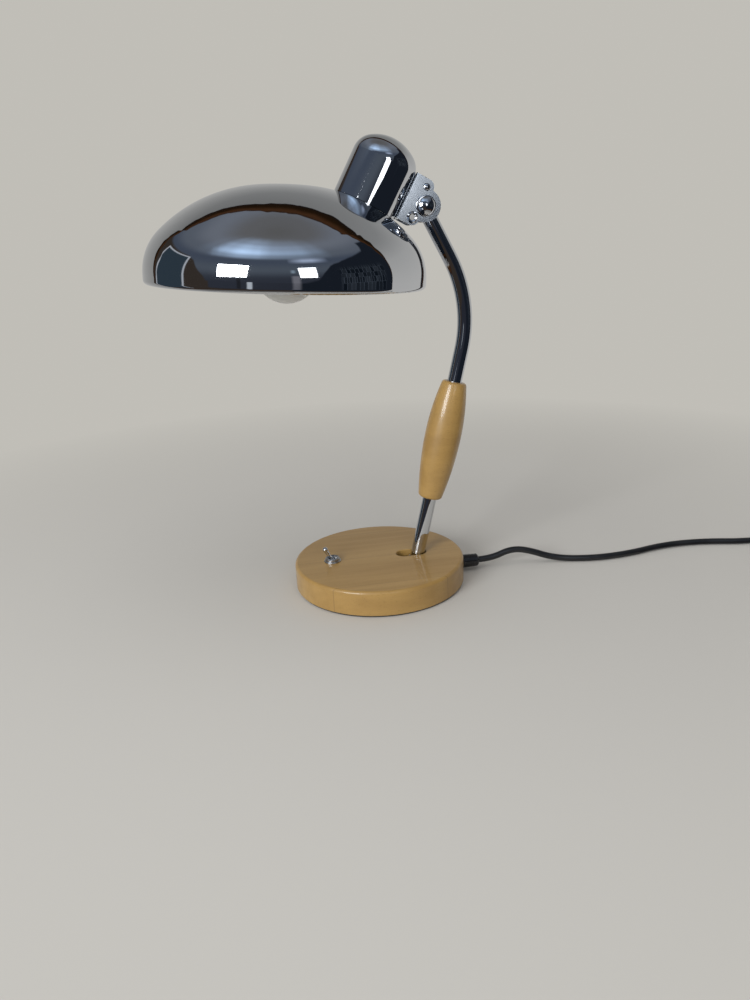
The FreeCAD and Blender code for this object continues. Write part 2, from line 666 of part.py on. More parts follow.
def cord_entry():
    tail = "-glandTail"
    bore = "cordDiameter / 2 + seatGap"
    gland = new_body("cord_gland")
    turn(gland, [
        (bore, tail), ("glandBore / 2 - seatGap", tail), ("glandBore / 2 - seatGap", "0"),
        ("glandDiameter / 2", "0"), ("glandDiameter / 2 - glandTaper", "glandLength - glandChamfer"),
        ("glandDiameter / 2 - glandTaper - glandChamfer", "glandLength"), (bore, "glandLength"),
    ])
    keep(gland, "cord_gland", "baseDiameter / 2", "0", "glandHeight", "90")
    nut = new_body("gland_nut")
    turn(nut, [
        ("glandBore / 2", "0"), ("glandNutDiameter / 2", "0"), ("glandNutDiameter / 2", "glandNutThickness"),
        ("glandBore / 2", "glandNutThickness"),
    ])
    keep(nut, "gland_nut", "pocketDiameter / 2 - glandNutThickness - 0.6", "0", "glandHeight", "90")
    run = "baseDiameter / 2 + glandLength - clampReach + innerCordTail"
    inner = cylinder("inner_cord", "cordDiameter / 2", run)
    keep(inner, "inner_cord", "clampReach - innerCordTail", "0", "glandHeight", "90")
    block = new_body("cord_clamp_block")
    cord_middle = f"(glandHeight - {plateTop})"
    pad(block, outline(new_sketch(block, "YZ_Plane"), [
        ("-clampWidth / 2", "0"), ("clampWidth / 2", "0"), ("clampWidth / 2", cord_middle),
        ("cordDiameter / 2", cord_middle, ("0", f"{cord_middle} - cordDiameter / 2")),
        ("-cordDiameter / 2", cord_middle), ("-clampWidth / 2", cord_middle),
    ]), "clampLength", False)
    cut_through(block, circle(circle(new_sketch(block, "XY_Plane"), "clampLength / 2", "clampScrewSpread",
                                     "clampScrewDiameter + 2 * seatGap"),
                              "clampLength / 2", "-clampScrewSpread", "clampScrewDiameter + 2 * seatGap"))
    keep(block, "cord_clamp_block", "clampReach", "0", plateTop)
    saddle = new_body("cord_clamp_saddle")
    high = f"clampHeight - glandHeight + {plateTop}"
    pad(saddle, outline(new_sketch(saddle, "YZ_Plane"), [
        ("-clampWidth / 2", "0"), ("-cordDiameter / 2", "0", ("0", "cordDiameter / 2")),
        ("cordDiameter / 2", "0"), ("clampWidth / 2", "0"), ("clampWidth / 2", f"0.5 * ({high})"),
        ("0.3 * clampWidth", high), ("-0.3 * clampWidth", high), ("-clampWidth / 2", f"0.5 * ({high})"),
    ]), "clampLength", False)
    cut_through(saddle, circle(circle(new_sketch(saddle, "XY_Plane"), "clampLength / 2", "clampScrewSpread",
                                      "clampScrewDiameter + 2 * seatGap"),
                               "clampLength / 2", "-clampScrewSpread", "clampScrewDiameter + 2 * seatGap"))
    keep(saddle, "cord_clamp_saddle", "clampReach", "0", "glandHeight")
    one = new_body("clamp_screw")
    grip_length = f"{high} + glandHeight - {plateTop} - 1"
    turn(one, [
        ("0", "1"), ("clampScrewDiameter / 2", "1"), ("clampScrewDiameter / 2", f"{grip_length} + 1"),
        ("clampScrewHead / 2", f"{grip_length} + 1"),
        ("0.3 * clampScrewHead", f"{grip_length} + 1 + clampScrewHeadHeight"),
        ("0", f"{grip_length} + 1 + clampScrewHeadHeight"),
    ])
    spots = [("clampReach + clampLength / 2", f"{side}clampScrewSpread", plateTop) for side in ("-", "")]
    keep(copies("cord_clamp_screws", one, spots), "cord_clamp_screws")
    terminals = bind(doc.addObject("Part::Box", "terminal_block"), Length="blockLength", Width="blockWidth",
                     Height="blockHeight")
    keep(terminals, "terminal_block", "blockReach",
         f"-({bracketWidth} / 2 + blockGap + blockLength / 2)", plateTop)
    leads = [tube_along(route, value("leadDiameter"), "lead")[0] for route in LEAD_ROUTES]
    keep(solid("base_leads", Part.makeCompound(leads)), "base_leads")


# The arm

def arm_spine(sketch, start, stop):
    """The middle line of the tube in the lamp's plane, in the frame of the pivot."""
    turned = "(armLean + armUpperLean)"
    reach = f"bendRadius * tan({turned} / 2)"
    below = f"(armLower - {reach})"
    above = f"(armUpper - {reach})"
    centre_x = f"({below} * sin(armLean) - bendRadius * cos(armLean))"
    centre_z = f"({below} * cos(armLean) + bendRadius * sin(armLean))"
    middle = "((armUpperLean - armLean) / 2)"
    end_x = f"(armLower * sin(armLean) - {reach} * sin(armUpperLean))"
    end_z = f"(armLower * cos(armLean) + {reach} * cos(armUpperLean))"
    return outline(sketch, [
        (f"({start}) * sin(armLean)", f"({start}) * cos(armLean)"),
        (f"{below} * sin(armLean)", f"{below} * cos(armLean)",
         (f"{centre_x} + bendRadius * cos({middle})", f"{centre_z} + bendRadius * sin({middle})")),
        (end_x, end_z),
        (f"{end_x} - ({above} - ({stop})) * sin(armUpperLean)",
         f"{end_z} + ({above} - ({stop})) * cos(armUpperLean)"),
    ], closed=False)


def arm_pipe(label, start, stop, *diameters):
    """A pipe along the arm, round or hollow."""
    body = new_body(label)
    spine = arm_spine(new_sketch(body), start, stop)
    doc.recompute()
    ring = body.newObject("Sketcher::SketchObject", label + "_ring")
    ring.AttachmentSupport = [(spine, "Edge1")]
    ring.MapMode = "NormalToEdge"
    ring.MapPathParameter = 0
    for diameter in diameters:
        circle(ring, "0", "0", diameter)
    pipe = feature(body, "AdditivePipe", ring)
    pipe.Spine = spine
    keep(body, label, x="pivotReach", z="pivotHeight")


def arm_foot():
    body = new_body("arm_foot")
    wide = "tubeDiameter / 2"
    pad(body, outline(new_sketch(body), [
        ("-eyeRadius", "0", ("0", "-eyeRadius")), ("eyeRadius", "0"), (wide, "0.6 * tubeStart"),
        (wide, "tubeStart"), (f"-{wide}", "tubeStart"), (f"-{wide}", "0.6 * tubeStart"),
    ]), "eyeWidth")
    turn(body, [
        ("0", "tubeStart - 1"), (f"{tubeBore} / 2 - seatGap", "tubeStart - 1"),
        (f"{tubeBore} / 2 - seatGap", "tubeStart + spigotLength"), ("0", "tubeStart + spigotLength"),
    ])
    turn(body, [
        ("0", "tubeStart - 3"), ("wireBore / 2", "tubeStart - 3"),
        ("wireBore / 2", "tubeStart + spigotLength + 1"), ("0", "tubeStart + spigotLength + 1"),
    ], "Groove")
    cut_through(body, circle(new_sketch(body), "0", "0", "boltDiameter + 2 * runningGap"))
    window = outline(new_sketch(body), [
        ("-tubeDiameter", "tubeStart - 3"), ("0", "tubeStart - 3"), ("0", "tubeStart - 0.4"),
        ("-tubeDiameter", "tubeStart - 0.4"),
    ])
    opening = feature(body, "Pocket", window, Length="wireBore")
    opening.Midplane = True
    keep(body, "arm_foot", "pivotReach", "0", "pivotHeight", "armLean")


def grip():
    body = new_body("grip")
    stop = "(gripStart + gripLength)"
    widest = "(gripStart + gripShare * gripLength)"
    swell = "((gripWidest - gripEnd) / 2)"
    corners = [("tubeDiameter / 2 + seatGap", "gripStart")]
    for here, there in (("gripStart", widest), (widest, stop)):
        run = f"({there} - {here})"
        radius = f"(({run} ^ 2 + {swell} ^ 2) / 2 / {swell})"
        radius_here = "gripEnd / 2" if here == "gripStart" else "gripWidest / 2"
        halfway = f"gripWidest / 2 - {radius} + sqrt({radius} ^ 2 - ({run} / 2) ^ 2)"
        corners.append((radius_here, here, (halfway, f"({here} + {there}) / 2")))
    corners += [("gripEnd / 2", stop), ("tubeDiameter / 2 + seatGap", stop)]
    turn(body, corners)
    round_edges(body, "gripRound", ring_edge("gripEnd / 2", "gripStart"))
    round_edges(body, "gripRound", ring_edge("gripEnd / 2", stop))
    keep(body, "grip", "pivotReach", "0", "pivotHeight", "armLean")


def knuckle_eye():
    """The fitting in the top of the tube. Its frame is the knuckle's, with Z towards the tube."""
    body = new_body("knuckle_eye")
    wide = "tubeDiameter / 2 - 0.5"
    pad(body, outline(new_sketch(body), [
        ("-knuckleRadius", "0", ("0", "-knuckleRadius")), ("knuckleRadius", "0"),
        (wide, "0.8 * tubeEnd"), (wide, "tubeEnd"), (f"-({wide})", "tubeEnd"),
        (f"-({wide})", "0.8 * tubeEnd"),
    ]), "eyeWidth")
    turn(body, [
        ("0", "tubeEnd - 1"), (f"{tubeBore} / 2 - seatGap", "tubeEnd - 1"),
        (f"{tubeBore} / 2 - seatGap", "tubeEnd + spigotLength"), ("0", "tubeEnd + spigotLength"),
    ])
    turn(body, [
        ("0", "boltDiameter / 2 + 2"), ("wireBore / 2", "boltDiameter / 2 + 2"),
        ("wireBore / 2", "tubeEnd + spigotLength + 1"), ("0", "tubeEnd + spigotLength + 1"),
    ], "Groove")
    cut_through(body, circle(new_sketch(body), "0", "0", "boltDiameter + 2 * runningGap"))
    window = outline(new_sketch(body), [
        ("0", "boltDiameter / 2 + 2"), ("2 * knuckleRadius", "boltDiameter / 2 + 2"),
        ("2 * knuckleRadius", "tubeEnd - 0.5"), ("0", "tubeEnd - 0.5"),
    ])
    opening = feature(body, "Pocket", window, Length="wireBore")
    opening.Midplane = True
    keep(body, "knuckle_eye", knuckleX, "0", knuckleZ, "180 - armUpperLean")


# The knuckle

def knuckle_bracket():
    """A folded U of sheet: a web curved to the cap, and two cheeks with a lobe at each rivet."""
    body = new_body("knuckle_bracket")
    low, high = "(knuckleAlong - rivetSpread)", "(knuckleAlong + rivetSpread)"
    corner = "rivetLobe * sin(45)"
    lobe_x, lobe_z = "(knuckleOut + lobeRadius * cos(lobeSpread))", "lobeRadius * sin(lobeSpread)"
    inside = f"(capDiameter / 2 - {bracketWidth} / 5)"
    pad(body, outline(new_sketch(body), [
        (inside, f"{low} - rivetLobe"),
        ("rivetOut", f"{low} - rivetLobe", (f"rivetOut + {corner}", f"{low} - {corner}")),
        ("rivetOut + rivetLobe", low),
        (lobe_x, f"knuckleAlong - {lobe_z}", ("knuckleOut + lobeRadius", "knuckleAlong")),
        (lobe_x, f"knuckleAlong + {lobe_z}"),
        ("rivetOut + rivetLobe", high, (f"rivetOut + {corner}", f"{high} + {corner}")),
        ("rivetOut", f"{high} + rivetLobe"), (inside, f"{high} + rivetLobe"),
    ]), bracketWidth)
    web = "capDiameter / 2 + webThickness"
    gap = outline(new_sketch(body), [
        (web, "-knuckleOut"), ("3 * knuckleOut", "-knuckleOut"),
        ("3 * knuckleOut", "3 * knuckleOut"), (web, "3 * knuckleOut"),
    ])
    between = feature(body, "Pocket", gap, Length=f"2 * {cheekInside}")
    between.Midplane = True
    turn(body, [
        ("0", "-knuckleOut"), ("capDiameter / 2 + runningGap", "-knuckleOut"),
        ("capDiameter / 2 + runningGap", "3 * knuckleOut"), ("0", "3 * knuckleOut"),
    ], "Groove")

    def outer_bend(edge):
        box = edge.BoundBox
        return (box.ZLength > value("2 * rivetSpread") and box.XLength < 1e-3 and box.YLength < 1e-3
                and abs(abs(box.YMax) - value(f"{bracketWidth} / 2")) < 1e-3)
    round_edges(body, "bracketBend", outer_bend)
    cut_through(body, circle(new_sketch(body), "knuckleOut", "knuckleAlong", "boltDiameter + 2 * seatGap"))
    cut_through(body, circle(new_sketch(body), "rivetOut", high, "2 * rivetShank + 2 * seatGap"))
    cut_through(body, circle(new_sketch(body), "rivetOut", low, "2 * sleeveRadius + 2 * seatGap"))
    nipple = circle(new_sketch(body, "YZ_Plane"), "0", "knuckleAlong", "nippleDiameter + 2 * seatGap")
    cut_ahead(body, nipple, "knuckleOut")
    keep(body, "knuckle_bracket", capX, "0", capZ, "capLean")


def in_cap(along, out):
    """A point of the cap's frame, in the lamp's plane."""
    return (f"({capX} + ({along}) * sin(capLean) + ({out}) * cos(capLean))",
            f"({capZ} + ({along}) * cos(capLean) - ({out}) * sin(capLean))")


def turned_across(name, corners, x, z, side=-1):
    """A piece turned about the Y axis. Its height runs towards -Y, or +Y, from the lamp's plane."""
    body = new_body(name)
    turn(body, corners)
    spot = V(value(x), 0, value(z))
    body.Placement = FreeCAD.Placement(spot, FreeCAD.Rotation(V(1, 0, 0), -90 * side))
    return bind(body, **{"Placement.Base.x": x, "Placement.Base.z": z})


def knuckle_fasteners():
    half = f"{bracketWidth} / 2"
    outer = f"{half} + ringHeight"
    spot = (knuckleX, knuckleZ)
    screw = turned_across("knuckle_screw", [
        ("0", f"-({outer}) - capNutSide"), ("boltDiameter / 2", f"-({outer}) - capNutSide"),
        ("boltDiameter / 2", outer), ("screwHeadDiameter / 2", outer),
        ("screwHeadDiameter / 2", f"{outer} + 0.3 * screwHeadHeight",
         ("0.38 * screwHeadDiameter", f"{outer} + 0.85 * screwHeadHeight")),
        ("0.2 * screwHeadDiameter", f"{outer} + screwHeadHeight"),
        ("0.2 * screwHeadDiameter", f"{outer} + 0.5 * screwHeadHeight"),
        ("0", f"{outer} + 0.5 * screwHeadHeight"),
    ], *spot, side=1)
    made.append(screw)
    nut = turned_across("knuckle_nut", [
        ("0", f"{outer} + capNutSide + 0.2"),
        ("boltDiameter / 2 + runningGap", f"{outer} + capNutSide + 0.2"),
        ("boltDiameter / 2 + runningGap", outer), ("capNutDiameter / 2", outer),
        ("capNutDiameter / 2", f"{outer} + capNutSide",
         crown("capNutDiameter / 2", f"{outer} + capNutSide", f"{outer} + capNutHeight")),
        ("0", f"{outer} + capNutHeight"),
    ], *spot)
    made.append(nut)
    for side, where in ((-1, "near"), (1, "far")):
        ring = turned_across(f"ring_{where}", [
            ("boltDiameter / 2 + runningGap", half), ("ringDiameter / 2", half),
            ("ringDiameter / 2", f"{half} + 0.4 * ringHeight",
             ("ringDiameter / 2 - 0.35 * ringHeight", f"{half} + 0.88 * ringHeight")),
            ("ringDiameter / 2 - ringHeight", f"{half} + ringHeight"),
            ("boltDiameter / 2 + runningGap", f"{half} + ringHeight"),
        ], *spot, side=side)
        keep_made(ring, f"knuckle_ring_{where}")
    keep_washers("knuckle_discs", "knuckleRadius - 1", "eyeWidth / 2", cheekInside, *spot)
    dome_end = f"{half} + rivetHeadHeight"
    dome_middle = crown("rivetHead", half, dome_end)
    upper = in_cap("knuckleAlong + rivetSpread", "rivetOut")
    rivet = turned_across("bracket_rivet", [
        ("0", f"-({dome_end})", (dome_middle[0], f"-({dome_middle[1]})")),
        ("rivetHead", f"-({half})"), ("rivetShank", f"-({half})"),
        ("rivetShank", f"-{cheekInside} + seatGap"),
        ("sleeveRadius", f"-{cheekInside} + seatGap"), ("sleeveRadius", f"{cheekInside} - seatGap"),
        ("rivetShank", f"{cheekInside} - seatGap"), ("rivetShank", half),
        ("rivetHead", half, dome_middle), ("0", dome_end),
    ], *upper)
    keep_made(rivet, "bracket_rivet")
    lower = in_cap("knuckleAlong - rivetSpread", "rivetOut")
    flare = f"{half} + eyeletHeight"
    eyelet = turned_across("bracket_eyelet", [
        ("eyeletBore", f"-({flare}) + 0.5"), ("0.7 * eyeletRadius", f"-({flare})"),
        ("eyeletRadius", f"-({half})"), ("sleeveRadius", f"-({half})"), ("sleeveRadius", half),
        ("eyeletRadius", half),
        ("0.7 * eyeletRadius", flare), ("eyeletBore", f"{flare} - 0.5"),
    ], *lower)
    keep_made(eyelet, "bracket_eyelet")


def keep_made(thing, label):
    thing.Label = label
    made.append(thing)


# The cap and what it holds

def dome_edges(grow):
    """The outside of the shade's dome moved outwards by grow: a flat crown, a shoulder arc tangent to it,
    and a side arc that is tangent to the shoulder and to the upright skirt."""
    radius, rise, skirt = value("shadeDiameter") / 2, value("shadeRise"), value("shadeSkirt")
    flat, shoulder = value("domeFlat") * radius, value(domeBall)
    reach, depth = radius - flat, shoulder - rise
    side = (reach ** 2 + depth ** 2 - shoulder ** 2) / 2 / (reach - shoulder)
    high, low = V(flat, 0, skirt - depth), V(radius - side, 0, skirt)
    outwards = (low - high).normalize()
    seam = low + outwards * (side + grow)
    middle, top = V(0, 0, skirt + rise + grow), V(flat, 0, skirt + rise + grow)
    foot = V(radius + grow, 0, skirt)
    edges = [Part.LineSegment(middle, top).toShape()]
    for centre, ball, start, stop in ((high, shoulder, top, seam), (low, side, seam, foot)):
        halfway = ((start - centre).normalize() + (stop - centre).normalize()).normalize()
        edges.append(Part.Arc(start, centre + halfway * (ball + grow), stop).toShape())
    return edges, middle, foot


def place_in_shade(shape):
    shape.Placement = FreeCAD.Placement(V(value(shadeX), 0, value(shadeZ)),
                                        FreeCAD.Rotation(ACROSS, value("shadeLean")))
    return shape


def dome_solid(grow):
    """Everything under the dome, as a solid in the lamp's frame."""
    outer, top, skirt = dome_edges(grow)
    foot = V(skirt.x, 0, 0)
    edges = outer + [Part.LineSegment(skirt, foot).toShape(), Part.LineSegment(foot, V()).toShape(),
                    Part.LineSegment(V(), top).toShape()]
    return place_in_shade(Part.Face(Part.Wire(edges)).revolve(V(), V(0, 0, 1), 360))


def cap_bar(radius, low, high, angle=0.0, out=0.0):
    """A round bar along the cap's axis, out from it at an angle."""
    bar = Part.makeCylinder(radius, high - low, V(0, 0, low))
    bar.translate(V(out * math.cos(math.radians(angle)), out * math.sin(math.radians(angle)), 0))
    bar.Placement = FreeCAD.Placement(V(value(capX), 0, value(capZ)),
                                      FreeCAD.Rotation(ACROSS, value("capLean"))).multiply(bar.Placement)
    return bar


def shade():
    """A spun dome with a short skirt and a rolled lip, holed where the cap sits."""
    wall = value("shadeWall")
    outer, top, skirt = dome_edges(0)
    inner, under_top, under_skirt = dome_edges(-wall)
    radius = value("shadeDiameter") / 2
    lip, lip_height = value("lipWidth"), value("lipHeight")
    rim = V(radius - lip, 0, 0)
    lip_middle = V(radius - 0.32 * lip, 0, 0.28 * lip_height)
    edges = outer + inner + [
        Part.LineSegment(skirt, V(radius, 0, lip_height)).toShape(),
        Part.Arc(V(radius, 0, lip_height), lip_middle, rim).toShape(),
        Part.LineSegment(rim, V(radius - lip, 0, wall)).toShape(),
        Part.Arc(V(radius - lip, 0, wall), lip_middle + V(-0.75, 0, 0.65) * wall,
                 V(radius - wall, 0, lip_height)).toShape(),
        Part.LineSegment(V(radius - wall, 0, lip_height), under_skirt).toShape(),
        Part.LineSegment(under_top, top).toShape(),
    ]
    shell = Part.Face(Part.Wire(Part.__sortEdges__(edges))).revolve(V(), V(0, 0, 1), 360)
    shell = place_in_shade(shell)
    holes = [cap_bar(value("shadeHole") / 2, -30, 30)]
    for angle in (0, 120, 240):
        holes.append(cap_bar(value("capScrewDiameter") / 2 + value("seatGap"), -20, 20, angle,
                             value(capScrewRadius)))
    keep_made(solid("shade", shell.cut(holes)), "shade")


def cap_profile(wall, foot):
    """Half of the cap's section, filled to its axis, a wall's thickness inside the outside."""
    side, centre = "(capDiameter / 2 - shoulderRadius)", "(capHeight - crownRadius)"
    rise = f"sqrt((crownRadius - shoulderRadius) ^ 2 - {side} ^ 2)"
    meet = f"atan({rise} / {side})"
    shoulder, crown = f"(shoulderRadius - {wall})", f"(crownRadius - {wall})"
    return [
        ("0", foot), (f"capDiameter / 2 - {wall}", foot),
        (f"capDiameter / 2 - {wall}", f"{centre} + {rise}",
         (f"{side} + {shoulder} * cos({meet} / 2)", f"{centre} + {rise} + {shoulder} * sin({meet} / 2)")),
        (f"{crown} * cos({meet})", f"{centre} + {crown} * sin({meet})",
         (f"{crown} * cos((90 deg + {meet}) / 2)", f"{centre} + {crown} * sin((90 deg + {meet}) / 2)")),
        ("0", f"{centre} + {crown}"),
    ]


def cap():
    body = new_body("cap_shell")
    turn(body, cap_profile("0", "-capSkirt"))
    turn(body, cap_profile("capWall", "-capSkirt - 1"), "Groove")
    nipple = circle(new_sketch(body, "YZ_Plane"), "0", "knuckleAlong", "nippleDiameter + 2 * seatGap")
    cut_ahead(body, nipple, "capDiameter")
    place(body, capX, "0", capZ, "capLean")
    keep_cut("cap", body, [solid("dome_envelope", dome_solid(value("domeGap")))])


def cap_fixings():
    inside = "(capDiameter / 2 - capWall - seatGap)"
    ring = new_body("cap_ring")
    turn(ring, [
        (f"{inside} - ringWidth", "ringLift"), (inside, "ringLift"), (inside, "ringLift + ringThickness"),
        (f"{inside} - ringWidth", "ringLift + ringThickness"),
    ])
    hole = circle(new_sketch(ring, "XY_Plane"), capScrewRadius, "0", "capScrewDiameter + 2 * seatGap")
    around(ring, cut_through(ring, hole), 3)
    keep(ring, "cap_ring", capX, "0", capZ, "capLean")
    under = dome_solid(-value("shadeWall"))
    screws = []
    for angle in (0, 120, 240):
        feeler = cap_bar(value("capScrewHead") / 2, -30, 10, angle, value(capScrewRadius))
        high = high_of(feeler.common(under))
        seat = high - value("capScrewHeadHeight") - 0.9
        head = cap_bar(value("capScrewHead") / 2, seat, seat + value("capScrewHeadHeight"), angle,
                       value(capScrewRadius)).common(under)
        shank = cap_bar(value("capScrewDiameter") / 2, seat + 0.5, value("capScrewTop"), angle,
                        value(capScrewRadius))
        screws.append(head.fuse(shank).removeSplitter())
    keep_made(solid("cap_screws", Part.makeCompound(screws)), "cap_screws")


def high_of(shape):
    """The highest point of a shape along the cap's axis, from the cap's origin."""
    lean = math.radians(value("capLean"))
    flat = shape.copy()
    flat.translate(V(-value(capX), 0, -value(capZ)))
    flat.rotate(V(), ACROSS, -math.degrees(lean))
    return flat.BoundBox.ZMax


def nipple_pieces():
    axis_lean = "capLean + 90"
    inner_end = "(capDiameter / 2 - nippleInside)"
    outer_end = "(capDiameter / 2 + webThickness + nippleOutside)"
    nipple = new_body("nipple")
    turn(nipple, [
        ("nippleBore / 2", inner_end), ("nippleDiameter / 2", inner_end), ("nippleDiameter / 2", outer_end),
        ("nippleBore / 2", outer_end),
    ])
    x, z = in_cap("knuckleAlong", "0")
    keep(nipple, "nipple", x, "0", z, axis_lean)
    nuts = []
    strip_face = "capDiameter / 2 - capWall - holderStripGap - holderStrip"
    for where, start in (("inside", f"{strip_face} - nippleNutHeight"),
                         ("outside", "capDiameter / 2 + webThickness + seatGap")):
        blank = prism(f"nipple_nut_{where}", "nippleNutAcross", "nippleNutHeight")
        spot = in_cap("knuckleAlong", start)
        place(blank, spot[0], "0", spot[1], axis_lean)
        hole = cylinder(f"nipple_nut_{where}_hole", "nippleDiameter / 2 + runningGap", "3 * nippleNutHeight",
                        *[in_cap("knuckleAlong", f"{start} - nippleNutHeight")[0], "0",
                          in_cap("knuckleAlong", f"{start} - nippleNutHeight")[1]], axis_lean)
        nuts.append(cut(f"nipple_nut_{where}_cut", blank, [hole]))
    group = doc.addObject("Part::Compound", "nipple_nuts")
    group.Links = nuts
    keep_made(group, "nipple_nuts")


def holder_bracket():
    """A bent strip from the nipple on the cap's wall to the end of the lampholder."""
    body = new_body("holder_bracket")
    strip = value("holderStrip")
    wall_out = value("capDiameter / 2 - capWall - holderStripGap")
    lean = math.radians(value("holderLean"))
    end = V(value("holderOut"), value("holderAlong"), 0)
    along, across = V(math.sin(lean), math.cos(lean), 0), V(math.cos(lean), -math.sin(lean), 0)
    seat = [end - across * 10, end + across * 8.5]
    line = seat + [V(wall_out - 6, seat[1].y + 5.5, 0), V(wall_out, seat[1].y + 12, 0),
                   V(wall_out, value("knuckleAlong + nippleNutAcross / 2 + 1.5"), 0)]
    far_side = thickened(line, strip)
    sketch = new_sketch(body)
    points = line + far_side[::-1]
    corners = [(f"{p.x:.4f}", f"{p.y:.4f}") for p in points]
    pad(body, outline(sketch, corners), "holderStripWidth")
    nipple = circle(new_sketch(body, "YZ_Plane"), "0", "knuckleAlong", "nippleDiameter + 2 * seatGap")
    cut_ahead(body, nipple, "capDiameter")
    keep(body, "holder_bracket", capX, "0", capZ, "capLean")


def thickened(line, wall):
    """The other side of a bent strip, a wall's thickness to the left of its line."""
    sides = []
    for i, point in enumerate(line):
        before = (point - line[i - 1]).normalize() if i else None
        after = (line[i + 1] - point).normalize() if i + 1 < len(line) else None
        normals = [V(-d.y, d.x, 0) for d in (before, after) if d is not None]
        middle = sum(normals[1:], normals[0]).normalize()
        sides.append(point + middle * (wall / middle.dot(normals[0])))
    return sides


def lampholder():
    body = new_body("lampholder")
    mouth = "-holderLength"
    turn(body, [
        ("0", "0"), ("holderBoss / 2", "0"), ("holderBoss / 2", "-holderBossLength"),
        ("holderTop / 2", "-holderBossLength"), ("holderDiameter / 2", "-holderShoulder"),
        ("holderDiameter / 2", mouth), ("holderBore / 2", mouth),
        ("holderBore / 2", f"{mouth} + holderBoreDepth"), ("0", f"{mouth} + holderBoreDepth"),
    ])
    keep(body, "lampholder", holderX, "0", holderZ, holderTilt)


def bulb_profile(wall):
    """Half of the glass's section, filled to its axis, a wall's thickness inside the outside."""
    ball, neck = f"(bulbDiameter / 2 - {wall})", f"(bulbNeck / 2 - {wall})"
    low = f"(bulbNeckReach - bulbReach + {wall})"
    side, rise = f"({ball} * cos(38))", f"({ball} * sin(38) - bulbReach)"
    return [
        ("0", f"-bulbReach - {ball}", (ball, "-bulbReach")),
        (side, rise, (f"({side} + {neck}) / 2 - 1.1", f"({rise} + {low}) / 2 - 0.9")),
        (neck, low), ("0", low),
    ]


def bulb():
    low = "(bulbNeckReach - bulbReach)"
    body = new_body("bulb_glass")
    turn(body, bulb_profile("0"))
    turn(body, bulb_profile("bulbWall"), "Groove")
    neck = circle(new_sketch(body, "XY_Plane", f"{low} - 3 * bulbWall"), "0", "0", "bulbNeck - 2 * bulbWall")
    cut_ahead(body, neck, "5 * bulbWall")
    keep(body, "bulb_glass", holderX, "0", holderZ, holderTilt)
    screw_cap = new_body("bulb_cap")
    turn(screw_cap, [
        ("0", low), ("lampCapDiameter / 2", low), ("lampCapDiameter / 2", f"{low} + lampCapLength - 4"),
        ("lampTip / 2 + 2", f"{low} + lampCapLength"), ("0", f"{low} + lampCapLength"),
    ])
    keep(screw_cap, "bulb_cap", holderX, "0", holderZ, holderTilt)
    contact = cylinder("bulb_contact", "lampTip / 2", "lampTipHeight")
    x = f"({holderX} + ({low} + lampCapLength) * sin({holderTilt}))"
    z = f"({holderZ} + ({low} + lampCapLength) * cos({holderTilt}))"
    keep(contact, "bulb_contact", x, "0", z, holderTilt)
    spring = bind(doc.addObject("Part::Box", "holder_contact"), Length="14", Width="5",
                  Height="holderBoreDepth - holderLength + bulbReach - bulbNeckReach - lampCapLength"
                         " - lampTipHeight")
    offset = f"({low} + lampCapLength + lampTipHeight)"
    keep(spring, "holder_contact",
         f"({holderX} + {offset} * sin({holderTilt}) - 7 * cos({holderTilt}))", "-2.5",
         f"({holderZ} + {offset} * cos({holderTilt}) + 7 * sin({holderTilt}))", holderTilt)


# The cord

def cord_pieces():
    diameter = value("cordDiameter")
    tube, first = tube_along(CORD_ROUTE, diameter, "mains_cord")
    keep_made(solid("mains_cord", tube), "mains_cord")
    half = "coilTurnsAcross * cordDiameter / 2"
    high = "coilTurnsHigh * cordDiameter"
    coil = new_body("cord_coil")
    turn(coil, [
        (f"coilRadius - {half}", "0"), (f"coilRadius + {half}", "0"), (f"coilRadius + {half}", high),
        (f"coilRadius - {half}", high),
    ])
    for radius in (f"coilRadius - {half}", f"coilRadius + {half}"):
        for height in ("0", high):
            bevel_edges(coil, "coilBevel", ring_edge(radius, height))
    keep(coil, "cord_coil", "coilMiddleX", "coilMiddleY")
    tail, last = tube_along(TAIL_ROUTE, diameter, "cord_tail")
    keep_made(solid("cord_tail", tail), "cord_tail")
    turns = value("coilTurnsAcross * coilTurnsHigh") + 0.25
    print(f"cord length {first + last + turns * 2 * math.pi * value('coilRadius'):.0f}")


def plug_placed(thing, label, y="0", out="0"):
    """Puts a piece of the plug at the end of the tail, with its own Z axis out of the pins' face."""
    end = V(*TAIL_ROUTE[-1])
    heading = math.radians(value("plugTurn"))
    spin = FreeCAD.Rotation(V(0, 0, 1), value("plugTurn")).multiply(FreeCAD.Rotation(ACROSS, 90))
    side = V(-math.sin(heading), math.cos(heading), 0) * value(y)
    along = V(math.cos(heading), math.sin(heading), 0) * value(out)
    thing.Placement = FreeCAD.Placement(end + side + along, spin)
    return thing


